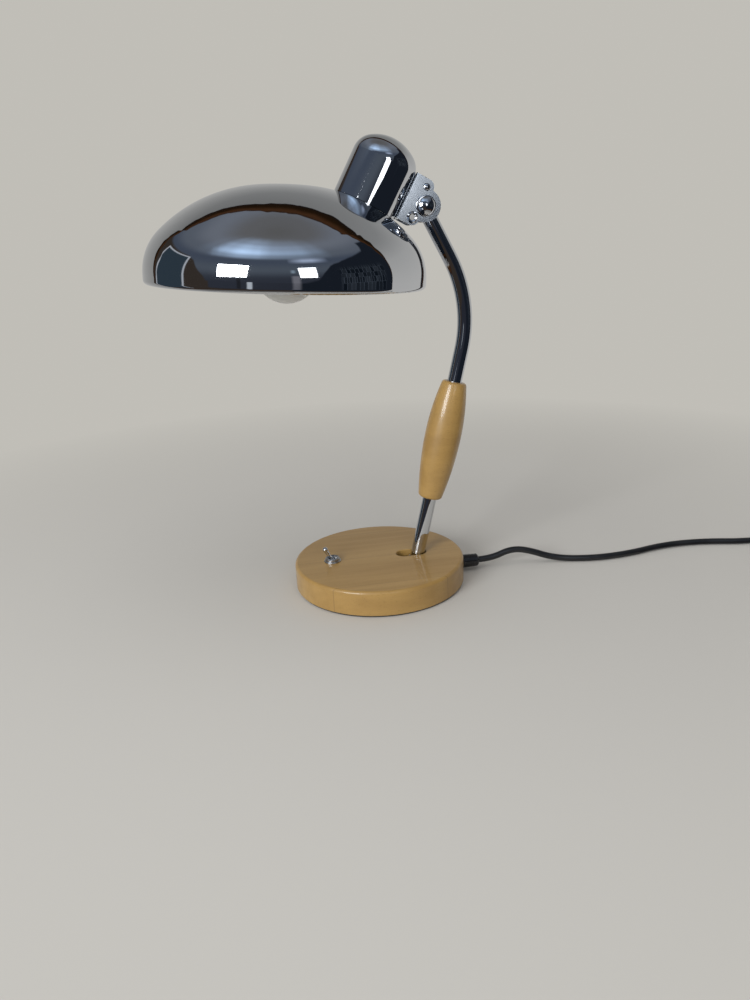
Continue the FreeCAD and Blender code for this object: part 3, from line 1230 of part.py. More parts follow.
def plug():
    face = "plugRelief + plugLength"
    body = new_body("plug_body")
    turn(body, [
        ("0", "0"), ("plugReliefEnd / 2", "0"), ("plugNeck / 2", "plugRelief"),
        ("plugDiameter / 2 - 4", "plugRelief + 4",
         ("plugDiameter / 2 - 1.2", "plugRelief + 9")),
        ("plugDiameter / 2", "plugRelief + 15"), ("plugDiameter / 2", f"{face} - 1"),
        ("plugDiameter / 2 - 1", face), ("0", face),
    ])
    for side in ("1", "-1"):
        groove = outline(new_sketch(body, "YZ_Plane", f"{side} * (plugDiameter / 2 - clipDepth)"), [
            ("-clipWidth / 2", f"{face} - 22"), ("clipWidth / 2", f"{face} - 22"),
            ("clipWidth / 2", f"{face} + 1"), ("-clipWidth / 2", f"{face} + 1"),
        ])
        notch = feature(body, "Pocket", groove, Length="plugDiameter")
        notch.Reversed = side == "1"
    keep_made(plug_placed(body, "plug_body"), "plug_body")
    pins, clips = [], []
    for side in (-1, 1):
        pin = new_body("plug_pin")
        turn(pin, [
            ("0", "0"), ("pinDiameter / 2", "0"), ("pinDiameter / 2", "pinLength - pinDiameter / 2",
             ("pinDiameter / 2 * cos(45)", "pinLength - pinDiameter / 2 + pinDiameter / 2 * sin(45)")),
            ("0", "pinLength"),
        ])
        pins.append(plug_placed(pin, "pin", f"{side} * pinPitch / 2", face))
    group = doc.addObject("Part::Compound", "plug_pins")
    group.Links = pins
    keep_made(group, "plug_pins")
    for side in (-1, 1):
        clip = new_body("plug_clip")
        shift = "plugDiameter / 2 - clipDepth" if side > 0 else "-plugDiameter / 2 + clipDepth - 0.8"
        flat = outline(new_sketch(clip, "YZ_Plane", shift), [
            ("0.3 - clipWidth / 2", "0"), ("clipWidth / 2 - 0.3", "0"), ("clipWidth / 2 - 0.3", "21.5"),
            ("0.3 - clipWidth / 2", "21.5"),
        ])
        pad(clip, flat, "0.8", False)
        clips.append(plug_placed(clip, "clip", "0", f"{face} - 22"))
    group = doc.addObject("Part::Compound", "plug_clips")
    group.Links = clips
    keep_made(group, "plug_clips")


def build():
    base_disc()
    ballast_weight()
    bottom_plate()
    felt_pad()
    wood_screws("plate_screws", "plateScrewCircle", underside, "woodScrewLength", "plateThickness")
    wood_screws("weight_screws", "weightScrewCircle",
                f"{ceiling} - weightThickness - weightScrewHeadHeight",
                "weightScrewLength", "weightScrewHeadHeight")
    pivot_bracket()
    pivot_bracket_screws()
    pivot_fasteners()
    switch_pieces()
    toggle_lever()
    cord_entry()
    arm_pipe("arm_tube", "tubeStart", "tubeEnd", "tubeDiameter", tubeBore)
    arm_pipe("arm_wire", "tubeStart + 1", "tubeEnd + 1", "armWireDiameter")
    arm_foot()
    grip()
    knuckle_eye()
    knuckle_bracket()
    knuckle_fasteners()
    shade()
    cap()
    cap_fixings()
    nipple_pieces()
    holder_bracket()
    lampholder()
    bulb()
    cord_pieces()
    plug()


def write():
    doc.recompute()
    failed = [thing.Name for thing in doc.Objects if {"Invalid", "Error"} & set(thing.State)]
    for thing in made:
        if thing.Shape.isNull() or not thing.Shape.isValid() or not thing.Shape.Solids:
            failed.append(thing.Label)
    if failed:
        raise RuntimeError(f"failed: {failed}")
    os.makedirs("parts", exist_ok=True)
    for thing in made:
        thing.Shape.exportStep(f"parts/{thing.Label}.step")
        box = thing.Shape.BoundBox
        print(f"{thing.Label}: {len(thing.Shape.Solids)} solids, {thing.Shape.Volume:.0f} mm3, "
              f"x {box.XMin:.1f} {box.XMax:.1f}, y {box.YMin:.1f} {box.YMax:.1f}, "
              f"z {box.ZMin:.1f} {box.ZMax:.1f}")


build()
write()
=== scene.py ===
import json
import math

import bmesh
import bpy
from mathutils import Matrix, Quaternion, Vector


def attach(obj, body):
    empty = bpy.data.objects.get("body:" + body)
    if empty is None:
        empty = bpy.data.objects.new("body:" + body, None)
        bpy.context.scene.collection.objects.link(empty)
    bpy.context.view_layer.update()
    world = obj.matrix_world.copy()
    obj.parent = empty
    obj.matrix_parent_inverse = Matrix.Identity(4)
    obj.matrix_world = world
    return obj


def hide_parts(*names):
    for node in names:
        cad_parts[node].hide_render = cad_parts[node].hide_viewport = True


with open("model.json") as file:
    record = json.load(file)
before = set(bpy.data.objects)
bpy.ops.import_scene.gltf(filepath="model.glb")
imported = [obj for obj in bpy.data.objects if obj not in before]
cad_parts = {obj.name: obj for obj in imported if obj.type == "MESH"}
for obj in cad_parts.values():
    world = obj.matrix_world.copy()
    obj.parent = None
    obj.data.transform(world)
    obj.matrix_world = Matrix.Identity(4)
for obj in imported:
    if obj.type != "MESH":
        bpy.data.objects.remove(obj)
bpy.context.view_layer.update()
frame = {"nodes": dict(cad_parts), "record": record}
nodes = frame["nodes"]
print("frame loaded:", len(nodes), "nodes")


# Camera, at the photograph's angle
cameraSetup = {
    "place": (-0.10991, -0.72165, 0.33835),
    "looksAlong": (0.1407, 0.9346, -0.3268),
    "roll": -2.93,                                                             # degrees
    "lens": 28.08,                                                             # millimetres
    "nearest": 0.01,
}


def makeCamera():
    lens = bpy.data.cameras.new("photoCamera")
    lens.lens = cameraSetup["lens"]
    lens.clip_start = cameraSetup["nearest"]
    camera = bpy.data.objects.new("photoCamera", lens)
    bpy.context.scene.collection.objects.link(camera)
    camera.location = cameraSetup["place"]
    camera.rotation_mode = "QUATERNION"
    level = Vector(cameraSetup["looksAlong"]).to_track_quat("-Z", "Y")
    camera.rotation_quaternion = level @ Quaternion((0, 0, 1), math.radians(cameraSetup["roll"]))
    bpy.context.scene.camera = camera


makeCamera()
print("camera placed")


# Shorthand for building node trees
def setSockets(node, numbers):
    for name, number in numbers.items():
        node.inputs[name].default_value = number


def newMaterial(name, fixed):
    material = bpy.data.materials.new(name)
    material.use_nodes = True
    tree = material.node_tree
    shader = tree.nodes["Principled BSDF"]
    setSockets(shader, fixed)                                                  # what is the same all over
    return material, tree, shader


def addNode(tree, kind, links=None, **settings):
    node = tree.nodes.new(kind)
    for name, setting in settings.items():
        if hasattr(node, name):
            setattr(node, name, setting)
        else:
            node.inputs[name].default_value = setting
    for name, source in (links or {}).items():
        tree.links.new(source, node.inputs[name])
    return node


def objectPlace(tree, scale=(1, 1, 1), turn=(0, 0, 0)):
    coordinates = addNode(tree, "ShaderNodeTexCoord")
    mapping = addNode(tree, "ShaderNodeMapping", {"Vector": coordinates.outputs["Object"]},
                      Scale=scale, Rotation=turn)
    return mapping.outputs["Vector"]


def noise(tree, place, scale=1.0, detail=3.0, roughness=0.5):
    return addNode(tree, "ShaderNodeTexNoise", {"Vector": place}, Scale=scale, Detail=detail,
                   Roughness=roughness).outputs["Fac"]


def remap(tree, value, low, high, toLow, toHigh):
    node = addNode(tree, "ShaderNodeMapRange", {"Value": value})
    setSockets(node, {"From Min": low, "From Max": high, "To Min": toLow, "To Max": toHigh})
    return node.outputs["Result"]


def calculate(tree, operation, first, second=0.0):
    node = addNode(tree, "ShaderNodeMath", operation=operation)
    for socket, entry in zip(node.inputs, (first, second)):
        if isinstance(entry, (int, float)):
            socket.default_value = entry
        else:
            tree.links.new(entry, socket)
    return node.outputs["Value"]


def mixColour(tree, factor, first, second, blend="MIX"):
    node = addNode(tree, "ShaderNodeMix", data_type="RGBA", blend_type=blend)
    factorSocket, firstColour, secondColour, mixedColour = 0, 6, 7, 2          # of the node's colour form
    for index, entry in ((factorSocket, factor), (firstColour, first), (secondColour, second)):
        if isinstance(entry, (int, float)):
            node.inputs[index].default_value = entry
        elif isinstance(entry, tuple):
            node.inputs[index].default_value = (*entry, 1)
        else:
            tree.links.new(entry, node.inputs[index])
    return node.outputs[mixedColour]


def ramp(tree, value, stops, smooth="LINEAR"):
    node = addNode(tree, "ShaderNodeValToRGB", {"Fac": value})
    elements = node.color_ramp.elements
    while len(elements) < len(stops):
        elements.new(1.0)
    for element, (place, colour) in zip(elements, stops):
        element.position = place
        element.color = (*colour, 1) if isinstance(colour, tuple) else (colour, colour, colour, 1)
    node.color_ramp.interpolation = smooth
    return node.outputs["Color"]


def colourWith(tree, shader, colour):
    tree.links.new(colour, shader.inputs["Base Color"])


def roughenWith(tree, shader, pattern, roughness, rise, low=0.3, high=0.7):
    uneven = remap(tree, pattern, low, high, roughness, roughness + rise)
    tree.links.new(uneven, shader.inputs["Roughness"])


def bump(tree, shader, height, strength, distance):
    node = addNode(tree, "ShaderNodeBump", {"Height": height}, Strength=strength, Distance=distance)
    tree.links.new(node.outputs["Normal"], shader.inputs["Normal"])


# Beech, varnished: edge-glued boards along X in the base, one straight piece along the grip
# A pattern's four numbers are where it starts and ends in its noise, and how strongly it shows there
beechLook = {
    "pale": (0.440, 0.264, 0.078), "dark": (0.350, 0.202, 0.056), "fleck": (0.250, 0.138, 0.036),
    "bandPitch": (5.5, 60, 60), "bands": (0.35, 0.68, 0, 1),                   # long soft bands of growth
    "porePitch": (30, 700, 700), "pores": (0.3, 0.7, 0, 0.16),
    "rayPitch": (260, 1500, 1500), "rays": (0.62, 0.74, 0, 0.55),              # short flecks
    "boardWidth": 0.065, "boardTone": 0.22,
    "glueColour": (0.20, 0.112, 0.040), "glueLine": (0.002, 0.008, 0.5, 0),
    "bandDepth": 0.6,                                                          # against the pores' depth
    "gripLean": 13.5,                                                          # degrees from upright
    "roughness": 0.38, "roughnessRise": 0.12, "coat": 0.42, "coatRoughness": 0.11, "refraction": 1.5,
}


def makeBeech(name, glued):
    look = beechLook
    material, tree, shader = newMaterial(name, {
        "Coat Weight": look["coat"], "Coat Roughness": look["coatRoughness"], "IOR": look["refraction"]})
    turn = (0, 0, 0) if glued else (0, math.radians(90 - look["gripLean"]), 0)
    bands = noise(tree, objectPlace(tree, look["bandPitch"], turn), detail=4.0, roughness=0.55)
    pores = noise(tree, objectPlace(tree, look["porePitch"], turn), detail=2.0)
    rays = noise(tree, objectPlace(tree, look["rayPitch"], turn), detail=1.0)
    colour = mixColour(tree, remap(tree, bands, *look["bands"]), look["pale"], look["dark"])
    colour = mixColour(tree, remap(tree, rays, *look["rays"]), colour, look["fleck"])
    colour = mixColour(tree, remap(tree, pores, *look["pores"]), colour, look["dark"])
    if glued:
        colour = markBoards(tree, colour)
    colourWith(tree, shader, colour)
    roughenWith(tree, shader, bands, look["roughness"], look["roughnessRise"])
    bandRelief = calculate(tree, "MULTIPLY", bands, look["bandDepth"])
    bump(tree, shader, calculate(tree, "ADD", pores, bandRelief), strength=0.12, distance=0.0002)
    return material


def markBoards(tree, colour):
    look = beechLook
    coordinates = addNode(tree, "ShaderNodeTexCoord")
    parts = addNode(tree, "ShaderNodeSeparateXYZ", {"Vector": coordinates.outputs["Object"]})
    across = calculate(tree, "DIVIDE", parts.outputs["Y"], look["boardWidth"])
    board = calculate(tree, "FLOOR", across)
    tone = addNode(tree, "ShaderNodeTexWhiteNoise", {"W": board}, noise_dimensions="1D").outputs["Value"]
    colour = mixColour(tree, remap(tree, tone, 0, 1, 0, look["boardTone"]), colour, look["dark"])
    inBoard = calculate(tree, "FRACT", calculate(tree, "ADD", across, 0.5))
    fromEdge = calculate(tree, "ABSOLUTE", calculate(tree, "SUBTRACT", inBoard, 0.5))
    return mixColour(tree, remap(tree, fromEdge, *look["glueLine"]), colour, look["glueColour"])


# Polished plate, with faint wiping marks that run a little further along Z
chromeLook = {"colour": (0.63, 0.64, 0.66), "roughness": 0.025, "smudge": 0.03, "pitch": 14}
fittingsLook = {"colour": (0.60, 0.61, 0.63), "roughness": 0.07, "smudge": 0.08, "pitch": 60}
# The nickel's blue tint is painted reflection: it stands in for the bluish window light that the bracket
# reflects
blueTintNickelLook = {"colour": (0.54, 0.58, 0.63), "roughness": 0.20, "smudge": 0.08, "pitch": 60}
wipingLook = {"alongZ": 0.6, "shows": (0.42, 0.72), "depth": 0.35, "grainScale": 900, "grainDepth": 0.02}


def makeChrome(name, look, lacquered=False):
    material, tree, shader = newMaterial(name, {"Metallic": 1, "Base Color": (*look["colour"], 1)})
    place = objectPlace(tree, (look["pitch"], look["pitch"], look["pitch"] * wipingLook["alongZ"]))
    marks = noise(tree, place, detail=5.0, roughness=0.62)
    grain = noise(tree, objectPlace(tree), scale=wipingLook["grainScale"], detail=2.0)
    roughenWith(tree, shader, marks, look["roughness"], look["smudge"], *wipingLook["shows"])
    wiped = calculate(tree, "MULTIPLY", marks, wipingLook["depth"])
    rolled = calculate(tree, "MULTIPLY", grain, wipingLook["grainDepth"])
    bump(tree, shader, calculate(tree, "ADD", wiped, rolled), strength=0.006, distance=0.0004)
    if lacquered:
        lacquerInside(tree, shader)
    return material


# White baked lacquer on the faces that look towards the middle of the shade's hollow
lacquerLook = {
    "middle": (-0.069, 0, 0.312), "edge": (-0.004, -0.002, 1, 0),
    "shaded": (0.74, 0.735, 0.71), "light": (0.80, 0.795, 0.77), "roughness": 0.38,
}


def lacquerInside(tree, shader):
    look = lacquerLook
    coordinates = addNode(tree, "ShaderNodeTexCoord")
    outward = addNode(tree, "ShaderNodeVectorMath", {0: coordinates.outputs["Object"]}, operation="SUBTRACT")
    outward.inputs[1].default_value = look["middle"]
    facing = addNode(tree, "ShaderNodeVectorMath", {
        0: outward.outputs["Vector"], 1: coordinates.outputs["Normal"]}, operation="DOT_PRODUCT")
    inside = remap(tree, facing.outputs["Value"], *look["edge"])
    orangePeel = noise(tree, objectPlace(tree), scale=260)
    white = addNode(tree, "ShaderNodeBsdfPrincipled", Roughness=look["roughness"])
    colourWith(tree, white, mixColour(tree, orangePeel, look["shaded"], look["light"]))
    bump(tree, white, orangePeel, strength=0.05, distance=0.0002)
    both = addNode(tree, "ShaderNodeMixShader", {0: inside, 1: shader.outputs[0], 2: white.outputs[0]})
    tree.links.new(both.outputs[0], tree.nodes["Material Output"].inputs["Surface"])


# Plated steel of brackets, screws and nuts: cloudy, and darker in the clouds
steelLook = {"cloudScale": 160, "clouds": (0.35, 0.7, 0, 0.6), "darker": 0.72}


def makeSteel(name, colour, roughness):
    material, tree, shader = newMaterial(name, {"Metallic": 1})
    cloud = noise(tree, objectPlace(tree), steelLook["cloudScale"], detail=4.0, roughness=0.6)
    darker = tuple(part * steelLook["darker"] for part in colour)
    colourWith(tree, shader, mixColour(tree, remap(tree, cloud, *steelLook["clouds"]), colour, darker))
    roughenWith(tree, shader, cloud, roughness, rise=0.15)
    bump(tree, shader, cloud, strength=0.1, distance=0.0002)
    return material


# Moulded plastic, smooth or with a fine spark-eroded grain
plasticLook = {"cloudScale": 55, "clouds": (0.35, 0.7, 0, 1), "lighter": (1.5, 0.002), "pitScale": 1800}


def makePlastic(name, colour, roughness, grain=0.12):
    material, tree, shader = newMaterial(name, {"IOR": 1.5})
    cloud = noise(tree, objectPlace(tree), plasticLook["cloudScale"], detail=4.0, roughness=0.6)
    pits = noise(tree, objectPlace(tree), plasticLook["pitScale"], detail=2.0)
    times, plus = plasticLook["lighter"]
    lighter = tuple(part * times + plus for part in colour)
    colourWith(tree, shader, mixColour(tree, remap(tree, cloud, *plasticLook["clouds"]), colour, lighter))
    roughenWith(tree, shader, cloud, roughness, rise=0.1)
    bump(tree, shader, pits, strength=grain, distance=0.0002)
    return material


# Felt: painted shade, darker where the fibre relief is low; the worn patches are real
feltLook = {
    "shadedHollows": (0.012, 0.016, 0.012), "tips": (0.035, 0.042, 0.034),
    "worn": (0.02, 0.022, 0.018), "patches": (0.3, 0.7, 0, 0.4),
}


def makeFelt():
    material, tree, shader = newMaterial("woolFelt", {"Roughness": 0.95, "Sheen Weight": 0.35})
    fibres = noise(tree, objectPlace(tree), scale=900, detail=6.0, roughness=0.7)
    cloud = noise(tree, objectPlace(tree), scale=60)
    # painted shade: the fibres' hollows take the darker colour
    colour = mixColour(tree, fibres, feltLook["shadedHollows"], feltLook["tips"])
    colour = mixColour(tree, remap(tree, cloud, *feltLook["patches"]), colour, feltLook["worn"])
    colourWith(tree, shader, colour)
    bump(tree, shader, fibres, strength=0.6, distance=0.0006)
    return material


ironLook = {"pits": (0.05, 0.05, 0.052), "skin": (0.12, 0.115, 0.11)}


def makeCastIron():
    material, tree, shader = newMaterial("castIron", {"Metallic": 0.8, "Roughness": 0.7})
    skin = noise(tree, objectPlace(tree), scale=420, detail=5.0, roughness=0.65)
    colourWith(tree, shader, mixColour(tree, skin, ironLook["pits"], ironLook["skin"]))
    bump(tree, shader, skin, strength=0.5, distance=0.0005)
    return material


glassLook = {"clear": (0.86, 0.86, 0.83), "frosted": (0.93, 0.93, 0.90)}


def makeBulbGlass():
    material, tree, shader = newMaterial("frostedGlass", {"Transmission Weight": 0.35, "IOR": 1.5})
    frost = noise(tree, objectPlace(tree), scale=700)
    colourWith(tree, shader, mixColour(tree, frost, glassLook["clear"], glassLook["frosted"]))
    roughenWith(tree, shader, frost, roughness=0.28, rise=0.12)
    bump(tree, shader, frost, strength=0.05, distance=0.0001)
    return material


satinNickel = makeSteel("satinNickel", colour=(0.50, 0.50, 0.50), roughness=0.30)
bySlot = {
    "wood_varnished": makeBeech("varnishedBeechBase", glued=True),
    "cast_iron": makeCastIron(),
    "steel_plate": makeSteel("zincedSheet", colour=(0.52, 0.53, 0.54), roughness=0.32),
    "steel_small": makeSteel("zincedScrews", colour=(0.55, 0.55, 0.55), roughness=0.28),
    "felt": makeFelt(),
    "plastic_black": makePlastic("blackMoulding", colour=(0.010, 0.010, 0.011), roughness=0.24),
    "plastic_white": makePlastic("whiteMoulding", colour=(0.62, 0.60, 0.55), roughness=0.35),
    "chrome": makeChrome("chromePlate", chromeLook),
    "chrome_small": makeChrome("chromeFittings", fittingsLook),
    "brass": makeSteel("turnedBrass", colour=(0.72, 0.52, 0.22), roughness=0.22),
    "cord_black": makePlastic("cordSheath", colour=(0.009, 0.009, 0.010), roughness=0.27, grain=0.05),
    "bulb_glass": makeBulbGlass(),
    "bulb_cap": makeSteel("rolledAluminium", colour=(0.70, 0.70, 0.69), roughness=0.2),
}
byNode = {
    "grip": makeBeech("varnishedBeechGrip", glued=False),
    "shade": makeChrome("chromeShade", chromeLook, lacquered=True),
    "knuckle_bracket": makeChrome("nickelWithBlueReflectionTint", blueTintNickelLook),
    "switch_plate": satinNickel, "switch_nut": satinNickel, "switch_bushing": satinNickel,
}


def dressNodes():
    slots = {part["node"]: part["material_slot"] for part in frame["record"]["subparts"]}
    for name, piece in nodes.items():
        material = byNode.get(name, bySlot[slots[name]])
        for slot in piece.material_slots:
            slot.material = material


dressNodes()
print("nodes dressed")


# The mains cord: out of the gland, along the floor, wound into a coil, and on to the plug
cordRoute = {
    "diameter": 0.0066, "length": 1.8,
    "toCoil": [
        (0.1035, 0, 0.0095), (0.119, 0, 0.0095), (0.138, 0.0003, 0.0168), (0.156, -0.001, 0.0152),
        (0.186, -0.005, 0.0033), (0.224, -0.016, 0.0033), (0.266, -0.014, 0.0033), (0.309, -0.003, 0.0033),
        (0.353, -0.005, 0.0033), (0.396, -0.018, 0.0033), (0.440, -0.0179, 0.0033),
    ],
    "toPlug": [
        (0.4778, -0.062, 0.0165), (0.480, -0.086, 0.013), (0.473, -0.110, 0.0128), (0.452, -0.126, 0.0185),
        (0.428, -0.129, 0.0185),
    ],
    "coilCentre": (0.440, -0.062), "coilRadius": 0.0345, "coilStart": 90,      # degrees from +X
    "turns": 6.25, "pointsPerTurn": 16,
    "climb": 0.22,                                                             # share of a turn
    "aroundFaces": 5, "alongFaces": 8,
}


def coilPoints():
    route = cordRoute
    wide, centre = route["diameter"], route["coilCentre"]
    inner, outer = route["coilRadius"] - wide / 2, route["coilRadius"] + wide / 2
    rings = [(outer + wide, 0), (outer, 0), (inner, 0), (inner, 1), (outer, 1), (inner, 2), (outer, 2)]
    points = []
    for number in range(1, round(route["turns"] * route["pointsPerTurn"])):
        turn = number / route["pointsPerTurn"]
        ring = int(turn)
        nextRing = min(ring + 1, len(rings) - 1)
        share = min(1.0, (turn - ring) / route["climb"])
        share = share * share * (3 - 2 * share)                                # eased at both ends
        radius, layer = (low + (high - low) * share for low, high in zip(rings[ring], rings[nextRing]))
        angle = math.radians(route["coilStart"]) - turn * 2 * math.pi
        points.append((centre[0] + radius * math.cos(angle), centre[1] + radius * math.sin(angle),
                       wide * (0.5 + layer)))
    return points


def makeCord():
    curve = bpy.data.curves.new("cordLine", "CURVE")
    curve.dimensions = "3D"
    curve.bevel_depth = cordRoute["diameter"] / 2
    curve.bevel_resolution = cordRoute["aroundFaces"]
    curve.use_fill_caps = True
    curve.resolution_u = cordRoute["alongFaces"]
    spline = curve.splines.new("NURBS")
    points = cordRoute["toCoil"] + coilPoints() + cordRoute["toPlug"]
    spline.points.add(len(points) - 1)
    for point, place in zip(spline.points, points):
        point.co = (*place, 1)
    spline.use_endpoint_u = True
    spline.order_u = 3
    cord = bpy.data.objects.new("mainsCord", curve)
    bpy.context.scene.collection.objects.link(cord)
    curve.materials.append(bySlot["cord_black"])
    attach(cord, "base")
    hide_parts("mains_cord", "cord_coil", "cord_tail")


makeCord()
print("cord laid")


# Light: two windows that face a point just in front of the shade, and a glow from the ceiling
# A window has its azimuth and elevation, its width and height in degrees, its distance and its watts
lightSetup = {
    "middle": (-0.08, -0.10, 0.32),
    "windows": [(-134, 17, 24, 19, 2.4, 41), (165, 13.5, 14, 17, 0.85, 0.5)],
    "windowColour": (0.94, 0.97, 1.0),
    "ceilingSize": (2.0, 1.6), "ceilingPlace": (-0.3, -0.5, 2.0), "ceilingWatts": 9,
    "ambient": (0.57, 0.23),                                                   # left and right
    "ambientColour": (0.97, 0.98, 1.0),
}


def direction(azimuth, elevation):
    turn, rise = math.radians(azimuth), math.radians(elevation)
    return Vector((math.sin(turn) * math.cos(rise), math.cos(turn) * math.cos(rise), math.sin(rise)))


def addPanel(name, size, watts, place):
    light = bpy.data.lights.new(name, "AREA")
    light.shape = "RECTANGLE"
    light.size, light.size_y = size
    light.energy = watts
    panel = bpy.data.objects.new(name, light)
    panel.location = place
    panel.visible_camera = False
    bpy.context.scene.collection.objects.link(panel)
    return panel


def makeLights():
    setup = lightSetup
    middle = Vector(setup["middle"])
    for number, (azimuth, elevation, wide, high, away, watts) in enumerate(setup["windows"], 1):
        size = [2 * away * math.tan(math.radians(angle / 2)) for angle in (wide, high)]
        outward = direction(azimuth, elevation)
        window = addPanel(f"window{number}", size, watts, middle + outward * away)
        window.data.color = setup["windowColour"]
        window.rotation_euler = (-outward).to_track_quat("-Z", "Y").to_euler()
    glow = addPanel("ceilingGlow", setup["ceilingSize"], setup["ceilingWatts"], setup["ceilingPlace"])
    glow.visible_glossy = False


# What the polished metal sees: azimuths clockwise from +Y and elevations, in degrees, with what is there
roomLook = {
    "lowest": -40, "highest": 90,
    "walls": [
        (-40, (0.032, 0.032, 0.034)), (-8, (0.026, 0.029, 0.040)), (3, (0.036, 0.042, 0.058)),
        (20, (0.092, 0.112, 0.142)), (34, (0.070, 0.088, 0.125)), (44, (0.125, 0.145, 0.180)),
        (60, (0.185, 0.205, 0.245)), (76, (0.150, 0.152, 0.158)), (90, (0.135, 0.135, 0.135)),
    ],
    "glowUp": [(36, 0.0), (42, 0.42), (49, 1.0), (58, 0.60), (66, 0.28), (80, 0.0)],
    "glowAround": [
        (-180, 0.40), (-168, 0.46), (-150, 0.86), (-136, 1.0), (-117, 0.62), (-98, 0.06), (-80, 0.0),
        (134, 0.0), (150, 0.16), (166, 0.36), (180, 0.40),
    ],
    "glowColour": (0.74, 1.00, 1.38),
    "furnitureTop": [
        (-122, -12), (-112, 4), (-104, 15), (-96, 27), (-88, 31), (-50, 33), (93, 50), (104, 40), (128, 33),
        (146, 25), (153, 14), (158, 3), (171, 0), (180, -8),
    ],
    "furnitureSides": (-60, 90),
    "furnitureLeft": (0.045, 0.036, 0.030), "furnitureRight": (0.012, 0.016, 0.024),
}
# Patches: azimuth from and to, elevation from and to, softness of the sides and of the ends, colour
corniceShape = (152, 174, 32.5, 37.5, 7, 3, (0.52, 0.62, 0.82))                # over the second window
roomShapes = [
    (-150, -146, -5, 1, 0.6, 0.6, (0.55, 0.60, 0.66)),
    (-141, -138, -2, 6, 0.4, 0.4, (0.020, 0.022, 0.028)),
    (173, 179, -4, 9, 1.2, 1.2, (0.20, 0.20, 0.23)),
    (176, 179, 14, 19, 1.0, 1.0, (0.26, 0.33, 0.40)),
    (-90.5, -54.5, -40, 30.2, 0.4, 0.4, (0.50, 0.53, 0.58)),                   # a pale frame
    (-88.5, -56, -40, 29, 0.4, 0.4, (0.034, 0.052, 0.070)),                    # and the dark panel in it
]


def azimuthPart(degrees):
    return (degrees + 180) / 360


def heightPart(degrees):
    return (degrees - roomLook["lowest"]) / (roomLook["highest"] - roomLook["lowest"])


def between(tree, value, low, high, soft):
    rise = remap(tree, value, low - soft, low + soft, 0, 1)
    fall = remap(tree, value, high - soft, high + soft, 1, 0)
    return calculate(tree, "MULTIPLY", rise, fall)


def under(tree, height, top, soft):
    return remap(tree, calculate(tree, "SUBTRACT", top, height), -soft, soft, 0, 1)


def patch(tree, azimuth, height, start, stop, low, high, softSides, softEnds):
    softSides = azimuthPart(softSides) - azimuthPart(0)
    softEnds = heightPart(softEnds) - heightPart(0)
    wide = between(tree, azimuth, azimuthPart(start), azimuthPart(stop), softSides)
    tall = between(tree, height, heightPart(low), heightPart(high), softEnds)
    return calculate(tree, "MULTIPLY", wide, tall)


def paintShape(tree, azimuth, height, colour, shape):
    *place, paint = shape
    return mixColour(tree, patch(tree, azimuth, height, *place), colour, paint)


def paintWalls(tree, azimuth, height):
    walls = ramp(tree, height, [(heightPart(up), colour) for up, colour in roomLook["walls"]], "EASE")
    glowUp = ramp(tree, height, [(heightPart(up), glow) for up, glow in roomLook["glowUp"]], "EASE")
    glowAround = ramp(tree, azimuth, [(azimuthPart(to), glow) for to, glow in roomLook["glowAround"]], "EASE")
    return mixColour(tree, calculate(tree, "MULTIPLY", glowUp, glowAround), walls, roomLook["glowColour"])


def paintFurniture(tree, azimuth, height, colour):
    top = ramp(tree, azimuth, [(azimuthPart(to), heightPart(up)) for to, up in roomLook["furnitureTop"]])
    left, right = roomLook["furnitureSides"]
    side = remap(tree, azimuth, azimuthPart(left), azimuthPart(right), 0, 1)
    dark = mixColour(tree, side, roomLook["furnitureLeft"], roomLook["furnitureRight"])
    return mixColour(tree, under(tree, height, top, soft=0.008), colour, dark)


# Shelves, filled with uneven upright things
shelvesLook = {
    "place": (99, 140, -9, 19, 2, 3),
    "rows": {"offset": 0.37, "offset_frequency": 2, "squash": 0.6, "squash_frequency": 3},
    "sockets": {
        "Scale": 60, "Brick Width": 0.62, "Row Height": 2.9, "Bias": -0.2,
        "Mortar Size": 0.05, "Mortar Smooth": 1.0, "Mortar": (0.075, 0.092, 0.12, 1),
        "Color1": (0.006, 0.009, 0.014, 1), "Color2": (0.034, 0.042, 0.054, 1),
    },
}


def paintShelves(tree, azimuth, height, colour):
    place = addNode(tree, "ShaderNodeCombineXYZ", {"X": azimuth, "Y": height})
    rows = addNode(tree, "ShaderNodeTexBrick", {"Vector": place.outputs[0]}, **shelvesLook["rows"])
    setSockets(rows, shelvesLook["sockets"])
    here = patch(tree, azimuth, height, *shelvesLook["place"])
    return mixColour(tree, here, colour, rows.outputs["Color"])


# The pale field, which ends in an arch with a brown rail
archLook = {
    "fromAzimuth": -60, "toAzimuth": 95,
    "top": [
        (-56, -40), (-51, 2), (-47, 12), (-40, 28), (-33, 38), (-18, 50), (-3, 57), (30, 58), (55, 54.5),
        (72, 49), (84, 38), (90, 22), (92, 0), (93, -40),
    ],
    "railHeight": 0.085,                                                       # share of the painted height
    "rail": [
        (0.0, (0.012, 0.008, 0.006)), (0.35, (0.018, 0.009, 0.004)), (0.8, (0.062, 0.027, 0.012)),
        (1.0, (0.030, 0.016, 0.010)),
    ],
    "paper": [
        (-10, (0.57, 0.565, 0.55)), (20, (0.47, 0.47, 0.46)), (40, (0.30, 0.303, 0.30)),
        (60, (0.25, 0.252, 0.25)),
    ],
    "light": [(-60, 0.55), (-20, 0.80), (60, 1.0)],                            # at each azimuth
}


